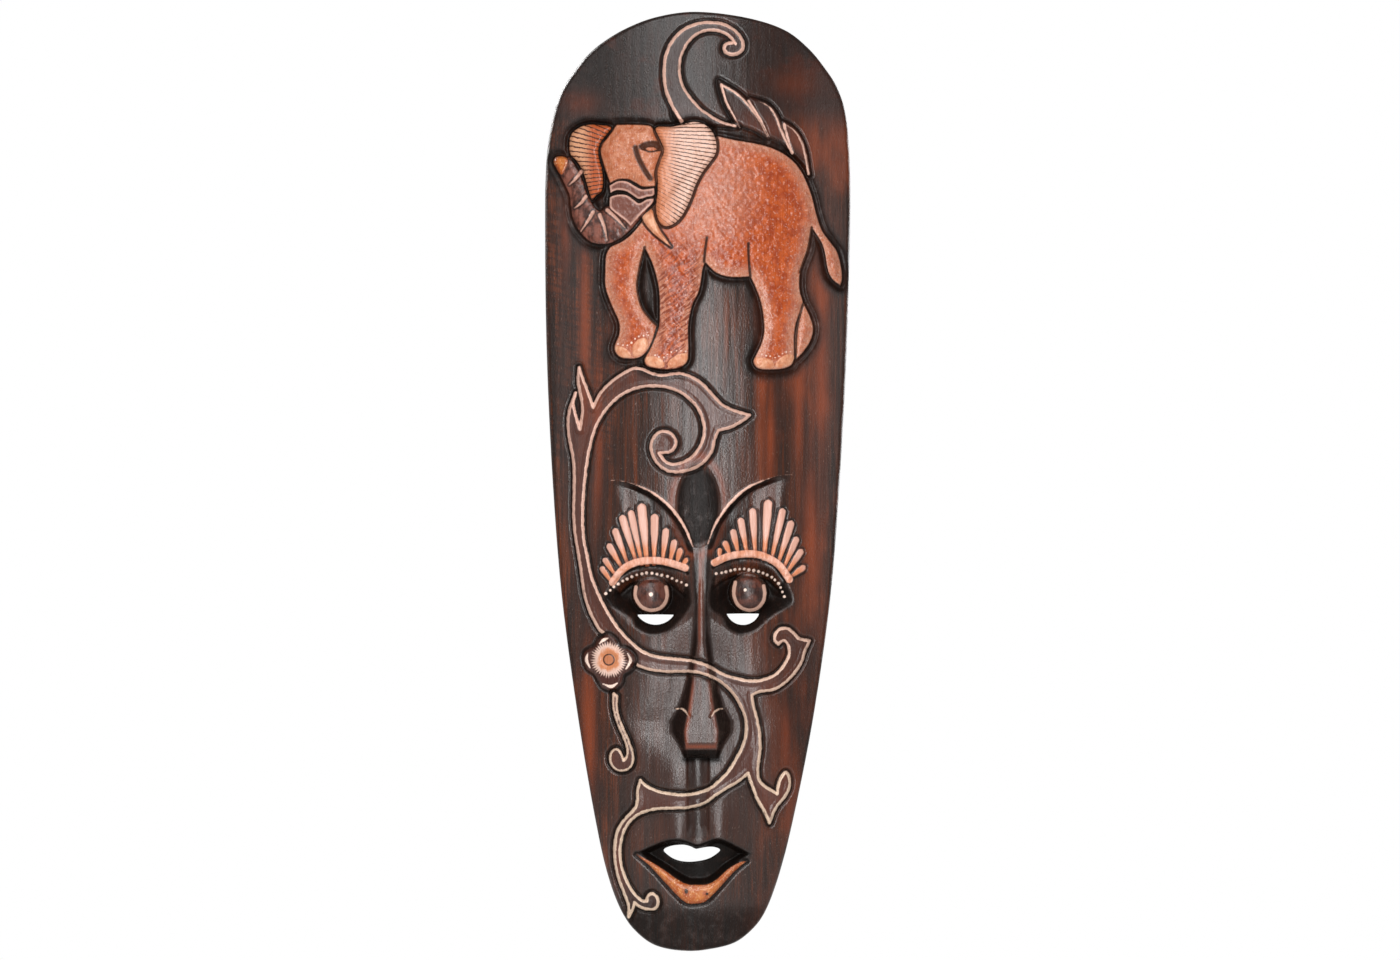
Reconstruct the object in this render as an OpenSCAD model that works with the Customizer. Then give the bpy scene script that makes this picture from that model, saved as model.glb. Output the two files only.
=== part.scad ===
// Carved wooden wall mask with a metal ring hanger in its hollow back.
// X runs across the mask, Z runs up, and the carved face looks towards -Y.
// The wall is the plane Y = 0, and the origin is the nail that the ring hangs on.

/* [Board] */
// Height of the mask from chin to crown
mask_len = 500; // [450:10:550]
// Thickness of the board at the middle of its face
crown_h = 46; // [44:1:52]
// Radius of the face across the mask
cross_r = 130; // [125:1:150]
// Radius of the face from chin to crown
long_r = 1400; // [1300:50:2000]

/* [Hollow back] */
// Width of the flat rim that rests on the wall
rim_w = 11; // [9:1:14]
// Depth of the hollow at its middle
hollow_h = 27; // [24:1:29]
// Radius of the hollow across the mask
hollow_r = 160; // [150:5:200]

/* [Carving] */
// Height of the elephant and the vines above the ground
relief_h = 1.4; // [0.8:0.2:2.4]
// Depth of the winged hollows under the brows
wing_cut = 4; // [3:0.5:5]
// Depth of the eye sockets
socket_cut = 8; // [6:0.5:9]
// Depth of the mouth between the lips
mouth_cut = 9; // [6:0.5:10]
// Radius of each eyeball
eye_r = 14; // [13:0.5:16]
// Height of the nose tip above the face
nose_h = 3; // [1:0.5:5]

/* [Hanger] */
// Distance from the crown down to the nail
hang_drop = 70; // [65:1:80]
// Radius of the ring's wire
wire_r = 1; // [0.8:0.1:1.2]
// Half the width of the ring, to the middle of its wire
ring_half_w = 7; // [6.8:0.1:8]
// How far the ring leans back against the wood, in degrees
ring_lean = 10; // [4:1:11]
// Width of the strap that holds the ring
strap_w = 9; // [8:0.5:9]
// Length of the strap below the ring's bar
strap_len = 25; // [24:1:28]
// Thickness of one leaf of the folded strap
strap_t = 0.8; // [0.6:0.1:0.9]
// Length of each screw under its head
screw_len = 13; // [10:1:14]

/* [Hidden] */

ART_LEN = 500;
k = mask_len / ART_LEN;
hang_z = mask_len - hang_drop;
reach = 70;
root = 5;
lens_fn = 200;
sweep_fn = 720;
sweep_a = 32;

// The hanger's place, measured from the nail
clearance = 0.06;
eye_bore_r = wire_r + clearance;
eye_out_r = eye_bore_r + strap_t;
leg_h = 5;
corner_r = 2;
ring_inner_h = leg_h + ring_half_w - wire_r;
pad_y = 13;
bar_y = -pad_y + eye_out_r;
bar_z = -ring_inner_h * cos(ring_lean);
pad_half_w = 9;
pad_over = 3;
pad_under = strap_len + 4;
leaf_gap = 0.1;
screw_drops = [7, 19];
screw_r = 1.5;
core_r = 1.1;
head_r = 3;
head_h = 1.7;
thread_pitch = 1.2;

wood = [0.22, 0.12, 0.09];
hide = [0.70, 0.36, 0.22];
pale = [0.86, 0.66, 0.52];
steel = [0.70, 0.70, 0.72];
brass = [0.78, 0.62, 0.32];

// Catmull-Rom point between b and c at t
function knot(a, b, c, d, t) =
    0.5 * (2 * b + (c - a) * t + (2 * a - 5 * b + 4 * c - d) * t * t
        + (3 * b - a - 3 * c + d) * t * t * t);

// Smooth open stretch through the points, without its last point
function stretch(p, steps = 3) =
    let (n = len(p))
    [for (i = [0 : n - 2], s = [0 : steps - 1])
        knot(p[max(i - 1, 0)], p[i], p[i + 1], p[min(i + 2, n - 1)], s / steps)];

// Smooth closed loop through the points
function loop(p, steps = 3) =
    let (n = len(p))
    [for (i = [0 : n - 1], s = [0 : steps - 1])
        knot(p[(i + n - 1) % n], p[i], p[(i + 1) % n], p[(i + 2) % n], s / steps)];

// Smooth stretches that meet at corners
function corners(stretches, steps = 3) =
    [for (p = stretches) each stretch(p, steps)];

// Closed loop moved inwards by d, for a loop that runs anticlockwise
function inset(p, d) =
    let (n = len(p))
    [for (i = [0 : n - 1])
        let (t = p[(i + 1) % n] - p[(i + n - 1) % n])
        p[i] + d * [-t.y, t.x] / norm(t)];

// Carving outlines, as [across, up from the chin] on a board 500 high
OUTLINE = [
    [-3, 0], [16, 3], [26.5, 9], [35.5, 20], [43.5, 41], [51.5, 73], [62, 127], [71, 191],
    [76, 255], [79.5, 319], [81.5, 383], [81.5, 420], [79.5, 445], [75, 460], [68, 471],
    [59, 481.5], [46, 491], [26, 497], [0, 500], [-21, 497.5], [-39, 491], [-55, 481],
    [-66, 469], [-73.5, 457], [-78, 442], [-81, 420], [-81.5, 383], [-80.5, 319], [-77.5, 255],
    [-72.5, 191], [-64, 127], [-55, 73], [-48, 41], [-40, 20], [-31, 8.5], [-20, 2]];

ELEPHANT = [
    [[10.5, 433], [20, 431], [32, 429], [42, 426], [50, 421], [58.5, 408], [63, 393],
        [66, 384], [71, 377], [76.5, 364], [76, 354.5]],
    [[76, 354.5], [69.5, 362], [66.5, 376], [60.8, 385]],
    [[60.8, 385], [59, 374], [54.5, 361], [54.5, 350], [56.5, 344], [60.5, 335], [60.5, 327],
        [52.5, 315]],
    [[52.5, 315], [49.5, 311.5], [40, 309.2], [31, 310.5], [29.5, 313.5], [34.5, 325],
        [34.8, 338], [31, 352], [28, 358.5]],
    [[28, 358.5], [20, 358], [10, 360.5], [4, 367]],
    [[4, 367], [1.8, 356], [-4.3, 337], [-4.9, 316], [-10, 310], [-22, 309.8], [-28, 313.5],
        [-22, 327], [-20, 342], [-22.5, 361], [-28, 374]],
    [[-28, 374], [-31.8, 355], [-29.5, 342.5], [-22, 332]],
    [[-22, 332], [-24.5, 323], [-32, 315.2], [-43.5, 318.5], [-41.5, 334], [-49, 354],
        [-48.5, 370], [-46.5, 374]],
    [[-46.5, 374], [-35, 381], [-18, 402], [10.5, 433]]];

EAR_LEFT = [
    [-47, 438], [-57, 440], [-66, 436.5], [-68.3, 428], [-62, 417], [-58.5, 407], [-56, 400],
    [-51, 404.5], [-51, 416], [-53, 426], [-49.5, 433]];

EAR_RIGHT = [
    [-21, 437.5], [-8, 439.3], [0, 440.5], [6.5, 437], [10, 428.5], [6.5, 419], [-1, 407],
    [-6, 394.5], [-12, 386.5], [-18, 385], [-22, 394], [-21, 408], [-18, 425.5]];

HEAD = [
    [[-46.5, 408.5], [-50, 419], [-51, 429], [-43, 439.5]],
    [[-43, 439.5], [-33, 439.5], [-24, 437.5], [-18.5, 427], [-21.5, 413], [-24, 397.5]],
    [[-24, 397.5], [-35, 384.5], [-46.5, 395.8]],
    [[-46.5, 395.8], [-46.3, 402], [-46.5, 408.5]]];

TRUNK = [
    [[-24, 397.5], [-35, 384], [-45, 377], [-56, 377], [-64, 385], [-67.5, 397], [-70, 407],
        [-76.5, 419], [-75, 423], [-69, 422.5], [-61, 409], [-53.5, 394]],
    [[-53.5, 394], [-49, 395], [-46.5, 396]]];

TUSK = [
    [[-24.5, 394.5], [-28.7, 390], [-23.5, 381.5], [-14, 374.5]],
    [[-14, 374.5], [-20, 383], [-23.3, 393]]];

SCROLL = [
    [-8.5, 441], [-16.5, 457], [-17, 475.5], [-8.5, 489.3], [7, 494], [20, 489.5], [24, 480],
    [17, 477], [14.5, 481], [20, 483], [13, 489], [0.5, 488.3], [-8.8, 476], [-8, 460],
    [2, 447], [18, 440]];

FLAMES = [
    [[[11.5, 462.5], [15, 450], [20, 440]], [[20, 440], [37.5, 432.5]],
        [[37.5, 432.5], [28, 449.5], [11.5, 462.5]]],
    [[[28, 453.3], [36, 440], [50.5, 424.5]], [[50.5, 424.5], [42, 445], [28, 453.3]]],
    [[[45.5, 441], [50, 428], [59.5, 413]], [[59.5, 413], [56, 430], [45.5, 441]]]];

VINE = [
    [[-63, 210], [-65.8, 235], [-66, 262], [-68.8, 281], [-64.8, 297]],
    [[-64.8, 297], [-65.5, 288], [-62.5, 277.5]],
    [[-62.5, 277.5], [-61.5, 290], [-63, 310.5]],
    [[-63, 310.5], [-59, 300], [-55.3, 289]],
    [[-55.3, 289], [-47, 301.5], [-33, 309.5], [-18, 306], [-3, 305], [10, 293], [27.5, 285]],
    [[27.5, 285], [17, 278.5], [11, 277]],
    [[11, 277], [6, 263], [-6, 255], [-19, 257.5], [-24.5, 268], [-17, 276.3], [-11.3, 270],
        [-17, 265]],
    [[-20, 264], [-12, 259], [-1, 265], [3.5, 278], [-4, 293.5], [-24, 300.5], [-44, 293],
        [-56, 273], [-61, 240], [-58.5, 210], [-49, 183], [-30, 160.5], [-3, 155], [20, 145.8],
        [38, 146], [48.5, 158]],
    [[48.5, 158], [44, 165], [41, 169], [48, 172.5], [59, 165.5]],
    [[59, 165.5], [51.5, 148.5], [40, 139.7], [29, 137.5]],
    [[29, 137.5], [33, 115], [32.5, 92], [42, 84.5]],
    [[42, 84.5], [47, 95.5], [48, 86], [38.2, 68.5]],
    [[38.2, 68.5], [30, 84], [26.8, 95.5]],
    [[26.8, 95.5], [3.5, 79.5], [-21, 76.5], [-37, 68], [-41, 52], [-33, 30], [-27, 27.5]],
    [[-27, 27.5], [-24, 31], [-21, 26.5], [-27, 22.7], [-33.5, 25]],
    [[-33.5, 25], [-36, 19]],
    [[-36, 19], [-39, 31], [-44, 52], [-38, 71], [-32, 80], [-30.3, 91.5]],
    [[-30.3, 91.5], [-13, 84.3], [6, 87], [20.5, 103], [25.8, 117], [19, 137.5], [0, 149.3],
        [-18, 149.5], [-34, 154]],
    [[-34, 154], [-46, 162], [-57.5, 182], [-63, 210]]];

TENDRIL = [
    [-44.5, 137.5], [-44, 124], [-37.5, 108], [-39.5, 101.5], [-43.5, 108], [-46.3, 102],
    [-41, 96.8], [-35, 100], [-36, 112], [-42, 126], [-42.5, 137]];

FLOWER_AT = [-47, 155.5];
FLOWER_R = 10.5;
PETALS = 5;

WING_LEFT = [
    [[-46, 250], [-31, 247], [-15, 236.5], [-5, 221], [-1.5, 200], [-4, 184]],
    [[-4, 184], [-20, 176], [-44, 188]],
    [[-44, 188], [-47, 210], [-46, 250]]];

WING_RIGHT = [
    [[50, 253], [49, 210], [47, 190]],
    [[47, 190], [24, 176], [8, 184]],
    [[8, 184], [4.5, 200], [7, 221], [20, 241], [35, 250], [50, 253]]];

SOCKET_LEFT = [
    [-45, 186], [-35, 173], [-24, 169.5], [-12, 173], [-6, 185], [-10, 197], [-24, 201.5],
    [-38, 197]];

SOCKET_RIGHT = [
    [8, 186], [14, 174], [24, 170], [33, 173], [46, 186], [40, 198], [27, 203], [13, 198]];

EYES = [[-24.5, 189], [27, 190]];
SLITS = [[-22.5, 179.4], [24, 179.8]];
SLIT_HALF_W = 9.3;
SLIT_H = 5.6;

BRIDGE_AT = [0, 236];
BRIDGE_R = 12;

NOSE_PLAN = [[-2, 215], [-3, 180], [-7, 145], [-11, 120], [-9, 106], [13, 106], [17, 120],
    [10, 145], [6, 180], [5, 215]];
NOSE_HALF_W = 15;
NOSE_TIP_Z = 112;
CHEEK_CUT = 4;

PHILTRUM_AT = [0, 76];
PHILTRUM_R = 4;

MOUTH = [
    [[-31, 53], [-20, 59], [-10, 60.5], [0, 57.5], [11, 60.5], [20, 57], [28, 52]],
    [[28, 52], [22, 46], [10, 38], [-1, 35.7], [-12, 39.5], [-24, 47], [-31, 53]]];

MOUTH_HOLE = [
    [-18, 54], [-12, 57], [-5, 56.5], [-1, 54.8], [5, 55.8], [12, 54.2], [7, 50], [-3, 47.6],
    [-12, 49]];

LIP = [
    [[-32, 51.5], [-19, 44.5], [-6, 36.2], [5, 36], [16, 44], [25.5, 48.2]],
    [[25.5, 48.2], [14, 37], [4, 27], [-6, 26.3], [-18, 38], [-32, 51.5]]];

// Straight solid of an outline, from the given depth in front of the wall
module slab(thick, from = 0) {
    translate([0, -from, -hang_z])
        rotate([90, 0, 0])
            linear_extrude(height = thick)
                scale([k, k])
                    children();
}

// Barrel-shaped solid whose front stands h in front of the wall at the middle
module barrel(h, r) {
    translate([0, long_r - h, mask_len / 2 - hang_z])
        rotate([0, 90, 0])
            rotate([0, 0, -90 - sweep_a / 2])
                rotate_extrude(angle = sweep_a, $fn = sweep_fn)
                    translate([long_r - r, 0])
                        circle(r, $fn = lens_fn);
}

// Everything in front of the face once it is lowered by depth, inside an outline
module cut(depth) {
    difference() {
        slab(reach)
            children();
        barrel(crown_h - depth, cross_r - depth);
    }
}

// Relief that stands lift above the face, rooted just under it
module raised(lift) {
    difference() {
        intersection() {
            slab(reach)
                children();
            barrel(crown_h + lift, cross_r + lift);
        }
        barrel(crown_h - root, cross_r - root);
    }
}

module board_outline(d = 0) {
    polygon(inset(loop(OUTLINE, 4), d));
}

module hollow() {
    difference() {
        intersection() {
            slab(hollow_h + 2, -1)
                board_outline(rim_w);
            barrel(hollow_h, hollow_r);
        }
        hanger_pad();
    }
}

// Block of wood left in the hollow for the hanger's screws
module hanger_pad() {
    translate([-pad_half_w, -reach, bar_z - pad_under])
        cube([2 * pad_half_w, reach - pad_y, pad_under + pad_over]);
}

// Plane board with its rounded face and hollow back
module blank() {
    difference() {
        intersection() {
            slab(reach)
                board_outline();
            barrel(crown_h, cross_r);
        }
        hollow();
    }
}

module face_cuts() {
    cut(wing_cut) {
        polygon(corners(WING_LEFT));
        polygon(corners(WING_RIGHT));
    }
    cut(socket_cut) {
        polygon(loop(SOCKET_LEFT));
        polygon(loop(SOCKET_RIGHT));
    }
    cut(mouth_cut)
        polygon(corners(MOUTH));
    bridge_scoop();
    philtrum();
}

// Shallow round-bottomed scoop at the top of the nose
module bridge_scoop() {
    translate([BRIDGE_AT.x * k, -crown_h - BRIDGE_R / 2, BRIDGE_AT.y * k - hang_z])
        sphere(BRIDGE_R, $fn = 64);
}

// Groove from the nose to the upper lip
module philtrum() {
    translate([PHILTRUM_AT.x, -crown_h + 3.5 - PHILTRUM_R, PHILTRUM_AT.y * k - hang_z])
        cylinder(r = PHILTRUM_R, h = 56, center = true, $fn = 48);
}

module eyeball(at) {
    intersection() {
        translate([at.x * k, -crown_h + socket_cut - 3 + eye_r, at.y * k - hang_z])
            sphere(eye_r, $fn = 96);
        slab(reach, hollow_h + 2)
            translate(at)
                circle(10.5, $fn = 64);
    }
}

// Long nose: its plan, its side profile and its ridged cross-section meet in one solid
module nose() {
    tip = crown_h + nose_h;
    side = [[hollow_h + 2, 218], [crown_h - 1, 218], [crown_h, 160],
        [tip, NOSE_TIP_Z + 4], [tip - 2, NOSE_TIP_Z - 2], [crown_h - CHEEK_CUT, 105],
        [hollow_h + 2, 105]];
    intersection() {
        slab(reach)
            polygon(NOSE_PLAN);
        translate([-NOSE_HALF_W * 2, 0, -hang_z])
            rotate([90, 0, 90])
                linear_extrude(height = NOSE_HALF_W * 4)
                    polygon([for (p = side) [-p[0], p[1] * k]]);
        translate([2, 0, -hang_z])
            linear_extrude(height = mask_len)
                polygon([[-19, 0], [-19, -crown_h + 10], [-4, -tip], [4, -tip],
                    [19, -crown_h + 10], [19, 0]]);
    }
}

// Through opening under an eyeball: a segment of a circle, flat side up
module slit_outline() {
    r = (SLIT_HALF_W ^ 2 + SLIT_H ^ 2) / (2 * SLIT_H);
    intersection() {
        translate([0, r - SLIT_H])
            circle(r, $fn = 96);
        translate([-SLIT_HALF_W, -SLIT_H])
            square([2 * SLIT_HALF_W, SLIT_H]);
    }
}

module through_holes() {
    slab(reach + 2, -1) {
        for (at = SLITS)
            translate(at)
                slit_outline();
        polygon(loop(MOUTH_HOLE));
    }
}

module flower_outline() {
    for (i = [0 : PETALS - 1])
        translate(FLOWER_AT)
            rotate(90 + i * 360 / PETALS)
                translate([FLOWER_R * 0.55, 0])
                    circle(FLOWER_R * 0.45, $fn = 32);
    translate(FLOWER_AT)
        circle(FLOWER_R * 0.55, $fn = 32);
}

module vines() {
    raised(relief_h * 0.7) {
        polygon(corners(VINE, 2));
        polygon(loop(TENDRIL, 2));
        polygon(loop(SCROLL));
        for (f = FLAMES)
            polygon(corners(f));
        flower_outline();
    }
}

module elephant() {
    raised(relief_h) {
        polygon(corners(ELEPHANT));
        polygon(corners(TRUNK));
    }
}

module elephant_head() {
    raised(relief_h * 1.5) {
        polygon(loop(EAR_LEFT));
        polygon(loop(EAR_RIGHT));
        polygon(corners(HEAD));
        polygon(corners(TUSK));
    }
}

module lower_lip() {
    raised(-1)
        polygon(corners(LIP));
}

module screw_bores() {
    for (d = screw_drops)
        translate([0, -pad_y, bar_z - d])
            rotate([90, 0, 0])
                translate([0, 0, -0.5])
                    cylinder(r = core_r, h = screw_len, $fn = 32);
}

module mask_body() {
    difference() {
        union() {
            color(wood)
                difference() {
                    blank();
                    face_cuts();
                }
            color(wood) nose();
            color(wood) for (at = EYES) eyeball(at);
            color(pale) vines();
            color(hide) elephant();
            color(hide) elephant_head();
            color(hide) lower_lip();
        }
        through_holes();
        screw_bores();
    }
}

// Steel strip folded round the ring's bar, with both leaves flat on the wood
module hanger_strap() {
    color(steel)
        difference() {
            translate([-strap_w / 2, bar_y, bar_z])
                rotate([90, 0, 90])
                    linear_extrude(height = strap_w)
                        strap_profile();
            for (d = screw_drops)
                translate([0, -pad_y + reach / 2, bar_z - d])
                    rotate([90, 0, 0])
                        cylinder(r = screw_r + 0.1, h = reach, $fn = 32);
        }
}

module strap_profile() {
    difference() {
        union() {
            circle(eye_out_r, $fn = 64);
            translate([-eye_out_r, -strap_len])
                square([strap_t, strap_len]);
            translate([-eye_out_r + strap_t + leaf_gap, -strap_len])
                square([strap_t, strap_len - eye_bore_r]);
        }
        circle(eye_bore_r, $fn = 64);
    }
}

// Wire ring with a straight bar in the strap and a round top for the nail
module hanger_ring() {
    bar_half = ring_half_w - corner_r;
    color(brass)
        translate([0, bar_y, bar_z])
            rotate([ring_lean, 0, 0]) {
                rotate([0, 90, 0])
                    cylinder(r = wire_r, h = 2 * bar_half, center = true, $fn = 48);
                for (side = [-1, 1])
                    ring_side(side, bar_half);
                translate([0, 0, leg_h])
                    rotate([90, 0, 0])
                        rotate_extrude(angle = 180, $fn = 96)
                            translate([ring_half_w, 0])
                                circle(wire_r, $fn = 48);
            }
}

module ring_side(side, bar_half) {
    translate([side * bar_half, 0, corner_r])
        rotate([90, 0, 0])
            rotate([0, 0, side > 0 ? -90 : 180])
                rotate_extrude(angle = 90, $fn = 96)
                    translate([corner_r, 0])
                        circle(wire_r, $fn = 48);
    translate([side * ring_half_w, 0, corner_r])
        cylinder(r = wire_r, h = leg_h - corner_r, $fn = 48);
}

// Round-headed wood screw, its thread drawn as rings
module screw(drop) {
    strap_top = eye_out_r - 2 * strap_t - leaf_gap;
    ridges = floor((screw_len - 4) / thread_pitch);
    translate([0, bar_y - strap_top, bar_z - drop])
        rotate([90, 0, 0]) {
            difference() {
                rotate_extrude($fn = 48)
                    polygon(concat(
                        [[0, -head_h], [head_r * 0.55, -head_h], [head_r * 0.9, -head_h * 0.6],
                            [head_r, 0], [screw_r, 0], [screw_r, 2.2], [core_r, 2.4]],
                        [for (i = [0 : ridges - 1]) each [
                            [core_r, 2.6 + i * thread_pitch],
                            [screw_r, 2.6 + (i + 0.4) * thread_pitch],
                            [core_r, 2.6 + (i + 0.8) * thread_pitch]]],
                        [[core_r, screw_len - 1.2], [0, screw_len]]));
                for (turn = [0, 90])
                    rotate([0, 0, turn])
                        translate([-1.6, -0.3, -head_h - 0.1])
                            cube([3.2, 0.6, 1]);
            }
        }
}

module upper_screw() {
    color(steel) screw(screw_drops[0]);
}

module lower_screw() {
    color(steel) screw(screw_drops[1]);
}

mask_body();
hanger_strap();
hanger_ring();
upper_screw();
lower_screw();
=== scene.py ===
import math

import bmesh
import bpy
import numpy as np
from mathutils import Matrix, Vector


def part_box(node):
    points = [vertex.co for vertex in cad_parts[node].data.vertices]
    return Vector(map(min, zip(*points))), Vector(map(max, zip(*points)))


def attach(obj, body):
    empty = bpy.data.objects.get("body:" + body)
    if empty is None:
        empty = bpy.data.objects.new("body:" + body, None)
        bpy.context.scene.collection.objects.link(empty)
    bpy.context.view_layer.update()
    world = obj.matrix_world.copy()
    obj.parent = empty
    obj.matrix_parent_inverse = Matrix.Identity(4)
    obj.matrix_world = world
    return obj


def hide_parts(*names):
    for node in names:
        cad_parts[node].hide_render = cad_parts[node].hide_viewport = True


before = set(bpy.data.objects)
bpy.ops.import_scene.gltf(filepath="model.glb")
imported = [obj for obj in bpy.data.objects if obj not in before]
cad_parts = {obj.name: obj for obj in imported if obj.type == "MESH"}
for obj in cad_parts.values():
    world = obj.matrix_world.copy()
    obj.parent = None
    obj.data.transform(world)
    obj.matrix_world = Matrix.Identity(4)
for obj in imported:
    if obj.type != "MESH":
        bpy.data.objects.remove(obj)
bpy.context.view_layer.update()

# ---------------------------------------------------------------- sizes
MM = 0.001
ART_LEN = 500.0  # the carving is laid out in mm on a board 500 mm high, from its chin
GRID = 0.5  # spacing of the front surface's points
BACK_GRID = 1.25  # spacing of the back surface's points
FAR = 9.0  # distances are measured up to here
NEARBY = 4.0  # and up to here from thin lines
NONE = 99.0  # further than anything

low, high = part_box("mask_body")
SCALE = (high.z - low.z) / (ART_LEN * MM)
CHIN_Z = low.z

LONG_R = 1400.0  # radius of the face from chin to crown
CROSS_R = 130.0  # radius of the face across
NOSE_RISE = 3.0  # the nose tip is the mask's foremost point
CROWN = -low.y / MM - NOSE_RISE
HOLLOW = 27.0
HOLLOW_R = 160.0
RIM_W = 11.0

xs = np.arange(-82.0, 82.01, GRID)
zs = np.arange(0.0, ART_LEN + 0.01, GRID)
X, Z = np.meshgrid(xs, zs)

# ---------------------------------------------------------------- outlines: across, up, across, up
OUTLINE = [
    -3, 0, 16, 3, 26.5, 9, 35.5, 20, 43.5, 41, 51.5, 73, 62, 127, 71, 191, 76, 255, 79.5, 319,
    81.5, 383, 81.5, 420, 79.5, 445, 75, 460, 68, 471, 59, 481.5, 46, 491, 26, 497, 0, 500,
    -21, 497.5, -39, 491, -55, 481, -66, 469, -73.5, 457, -78, 442, -81, 420, -81.5, 383,
    -80.5, 319, -77.5, 255, -72.5, 191, -64, 127, -55, 73, -48, 41, -40, 20, -31, 8.5, -20, 2]

BODY = [
    [10.5, 433, 20, 431, 32, 429, 42, 426, 50, 421, 55, 415, 58.5, 408, 61, 401, 63, 393,
     66, 384, 71, 377, 74.5, 372, 76.5, 364, 77, 358, 76, 354.5],
    [76, 354.5, 72, 357.5, 69.5, 362, 68, 370, 66.5, 376, 63.5, 381, 60.8, 385],
    [60.8, 385, 59, 374, 56.5, 367, 54.5, 361, 54, 355, 54.5, 350, 56, 344, 54, 339, 52, 333,
     51.2, 326, 51.3, 315],
    [51.3, 315, 49.5, 311.5, 45, 309.7, 40, 309.2, 34, 309.3, 31, 310.5, 29.5, 313.5, 30.5, 316,
     32.5, 320, 34.5, 325, 35.3, 331, 34.8, 338, 33.5, 345, 31, 352, 28, 358.5],
    [28, 358.5, 20, 358, 14, 358.7, 9, 361, 4, 366],
    [4, 366, 2.6, 362, 1.8, 356, 0.5, 350, -2.5, 344, -4.3, 337, -5, 330, -4.8, 322, -4.9, 316,
     -6, 312.5, -10, 310, -16, 309.2, -22, 309.8, -26.5, 311, -28, 313.5, -27.3, 316, -25, 320,
     -22, 327, -20.3, 333, -20, 342, -20.5, 352, -22.5, 361, -25, 368, -28, 374],
    [-28, 374, -31, 361, -31.8, 352, -29.5, 342.5, -25, 336, -21.5, 332.5],
    [-21.5, 332.5, -24.5, 323, -28, 317.5, -32, 315.2, -37, 315, -41, 315.8, -43.5, 318.5,
     -43.8, 322, -41.5, 328, -41.5, 334, -44, 340, -47, 347, -49, 354, -49, 362, -48.5, 370,
     -46.5, 374],
    [-46.5, 374, -35, 381, -18, 402, 10.5, 433]]

FAR_HIND = [
    [56, 345, 59.5, 338, 61.3, 332, 60.8, 327, 58.5, 322, 55, 317.5, 52.5, 315],
    [52.5, 315, 52, 322, 52.3, 329, 53.5, 335, 56, 345]]

EAR_LEFT = [
    -46, 438.3, -52, 439.5, -57, 440, -62, 439, -66, 436.5, -68, 433, -68.3, 428, -67.5, 424,
    -64.5, 421, -62, 417, -60, 412, -58.5, 407, -57, 402, -56, 399.8, -54, 402, -51, 404.5,
    -50.3, 410, -51, 416, -52.3, 421, -53, 426, -51.5, 430.5, -48.5, 434.5]

EAR_RIGHT = [
    -22, 437.5, -14, 438, -8, 439.3, -2, 440.5, 3, 439.5, 6.5, 437, 9, 433, 10, 428.5,
    9.5, 423.5, 6.5, 419, 2.5, 413.5, -1, 407, -3.5, 400, -6, 394.5, -9, 389.5, -13, 386,
    -17, 385, -20, 387, -21.5, 391, -22, 396, -21.2, 402, -21, 408, -21.3, 414, -19.5, 420,
    -17.8, 425.5, -19.5, 430.5]

HEAD = [
    [-43, 439.5, -36, 439.5, -27, 439, -24, 437.5, -21.5, 433, -19, 428, -18.3, 425.5,
     -19.5, 421, -21, 416, -21.5, 411, -22.5, 406.5],
    [-22.5, 406.5, -29, 406.3, -33, 408.5, -37, 410.3, -42, 410.3, -46.5, 408.5],
    [-46.5, 408.5, -48, 413, -50, 419, -51.5, 424.5, -51, 429, -48, 432.5, -43, 439.5]]

UPPER_JAW = [
    [-46.7, 407, -42, 409.3, -37.5, 409, -34, 407, -30.5, 405, -27.5, 404.7, -23, 405.3],
    [-23, 405.3, -23.2, 401.7, -27, 400.8, -31, 399.8, -34, 401.5, -38, 404, -43, 404.6,
     -46.7, 403]]

LOWER_JAW = [
    [-46.5, 400.8, -43, 402, -38, 401.8, -34, 399.3, -31, 397.3, -27, 399.2, -23.3, 399.8],
    [-23.3, 399.8, -24, 397.5, -30, 391.5, -35.5, 385.5],
    [-35.5, 385.5, -39, 389, -43, 392, -46.3, 395.3, -46.5, 400.8]]

TRUNK = [
    [-23.5, 398, -28, 392.5, -31.5, 388, -35, 384, -40, 379.5, -45, 377, -50, 376, -56, 377,
     -60, 380, -64, 385, -66.5, 391, -67.5, 397, -68, 402, -70, 407, -73.5, 414],
    [-73.5, 414, -69, 422.5, -66.5, 420, -63.5, 415, -61, 409, -59, 403, -56.5, 398, -53.5, 394,
     -51, 393.5, -49, 395.5, -46.5, 395.8],
    [-46.5, 395.8, -35, 392, -23.5, 398]]

TRUNK_FOLDS = [
    [-48, 394, -43, 389.5, -38.5, 384.5], [-52, 391.5, -49.5, 385, -48, 378],
    [-55.5, 393, -58.5, 388, -62, 383], [-59.5, 401.5, -62, 398, -65.3, 395.5],
    [-62, 415, -65, 411, -68.3, 408]]

TRUNK_TIP = [-76, 418.5, -76.7, 421.5, -75, 423.3, -71, 423, -69.2, 421, -70.5, 417, -72.7, 413.6]

TUSK = [
    [-24.5, 394.5, -28.5, 391, -29, 389, -27, 385.5, -23.5, 381.5, -19, 377.7, -14, 374],
    [-14, 374, -17, 378.5, -20, 383, -22, 388, -23.3, 393]]

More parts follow.
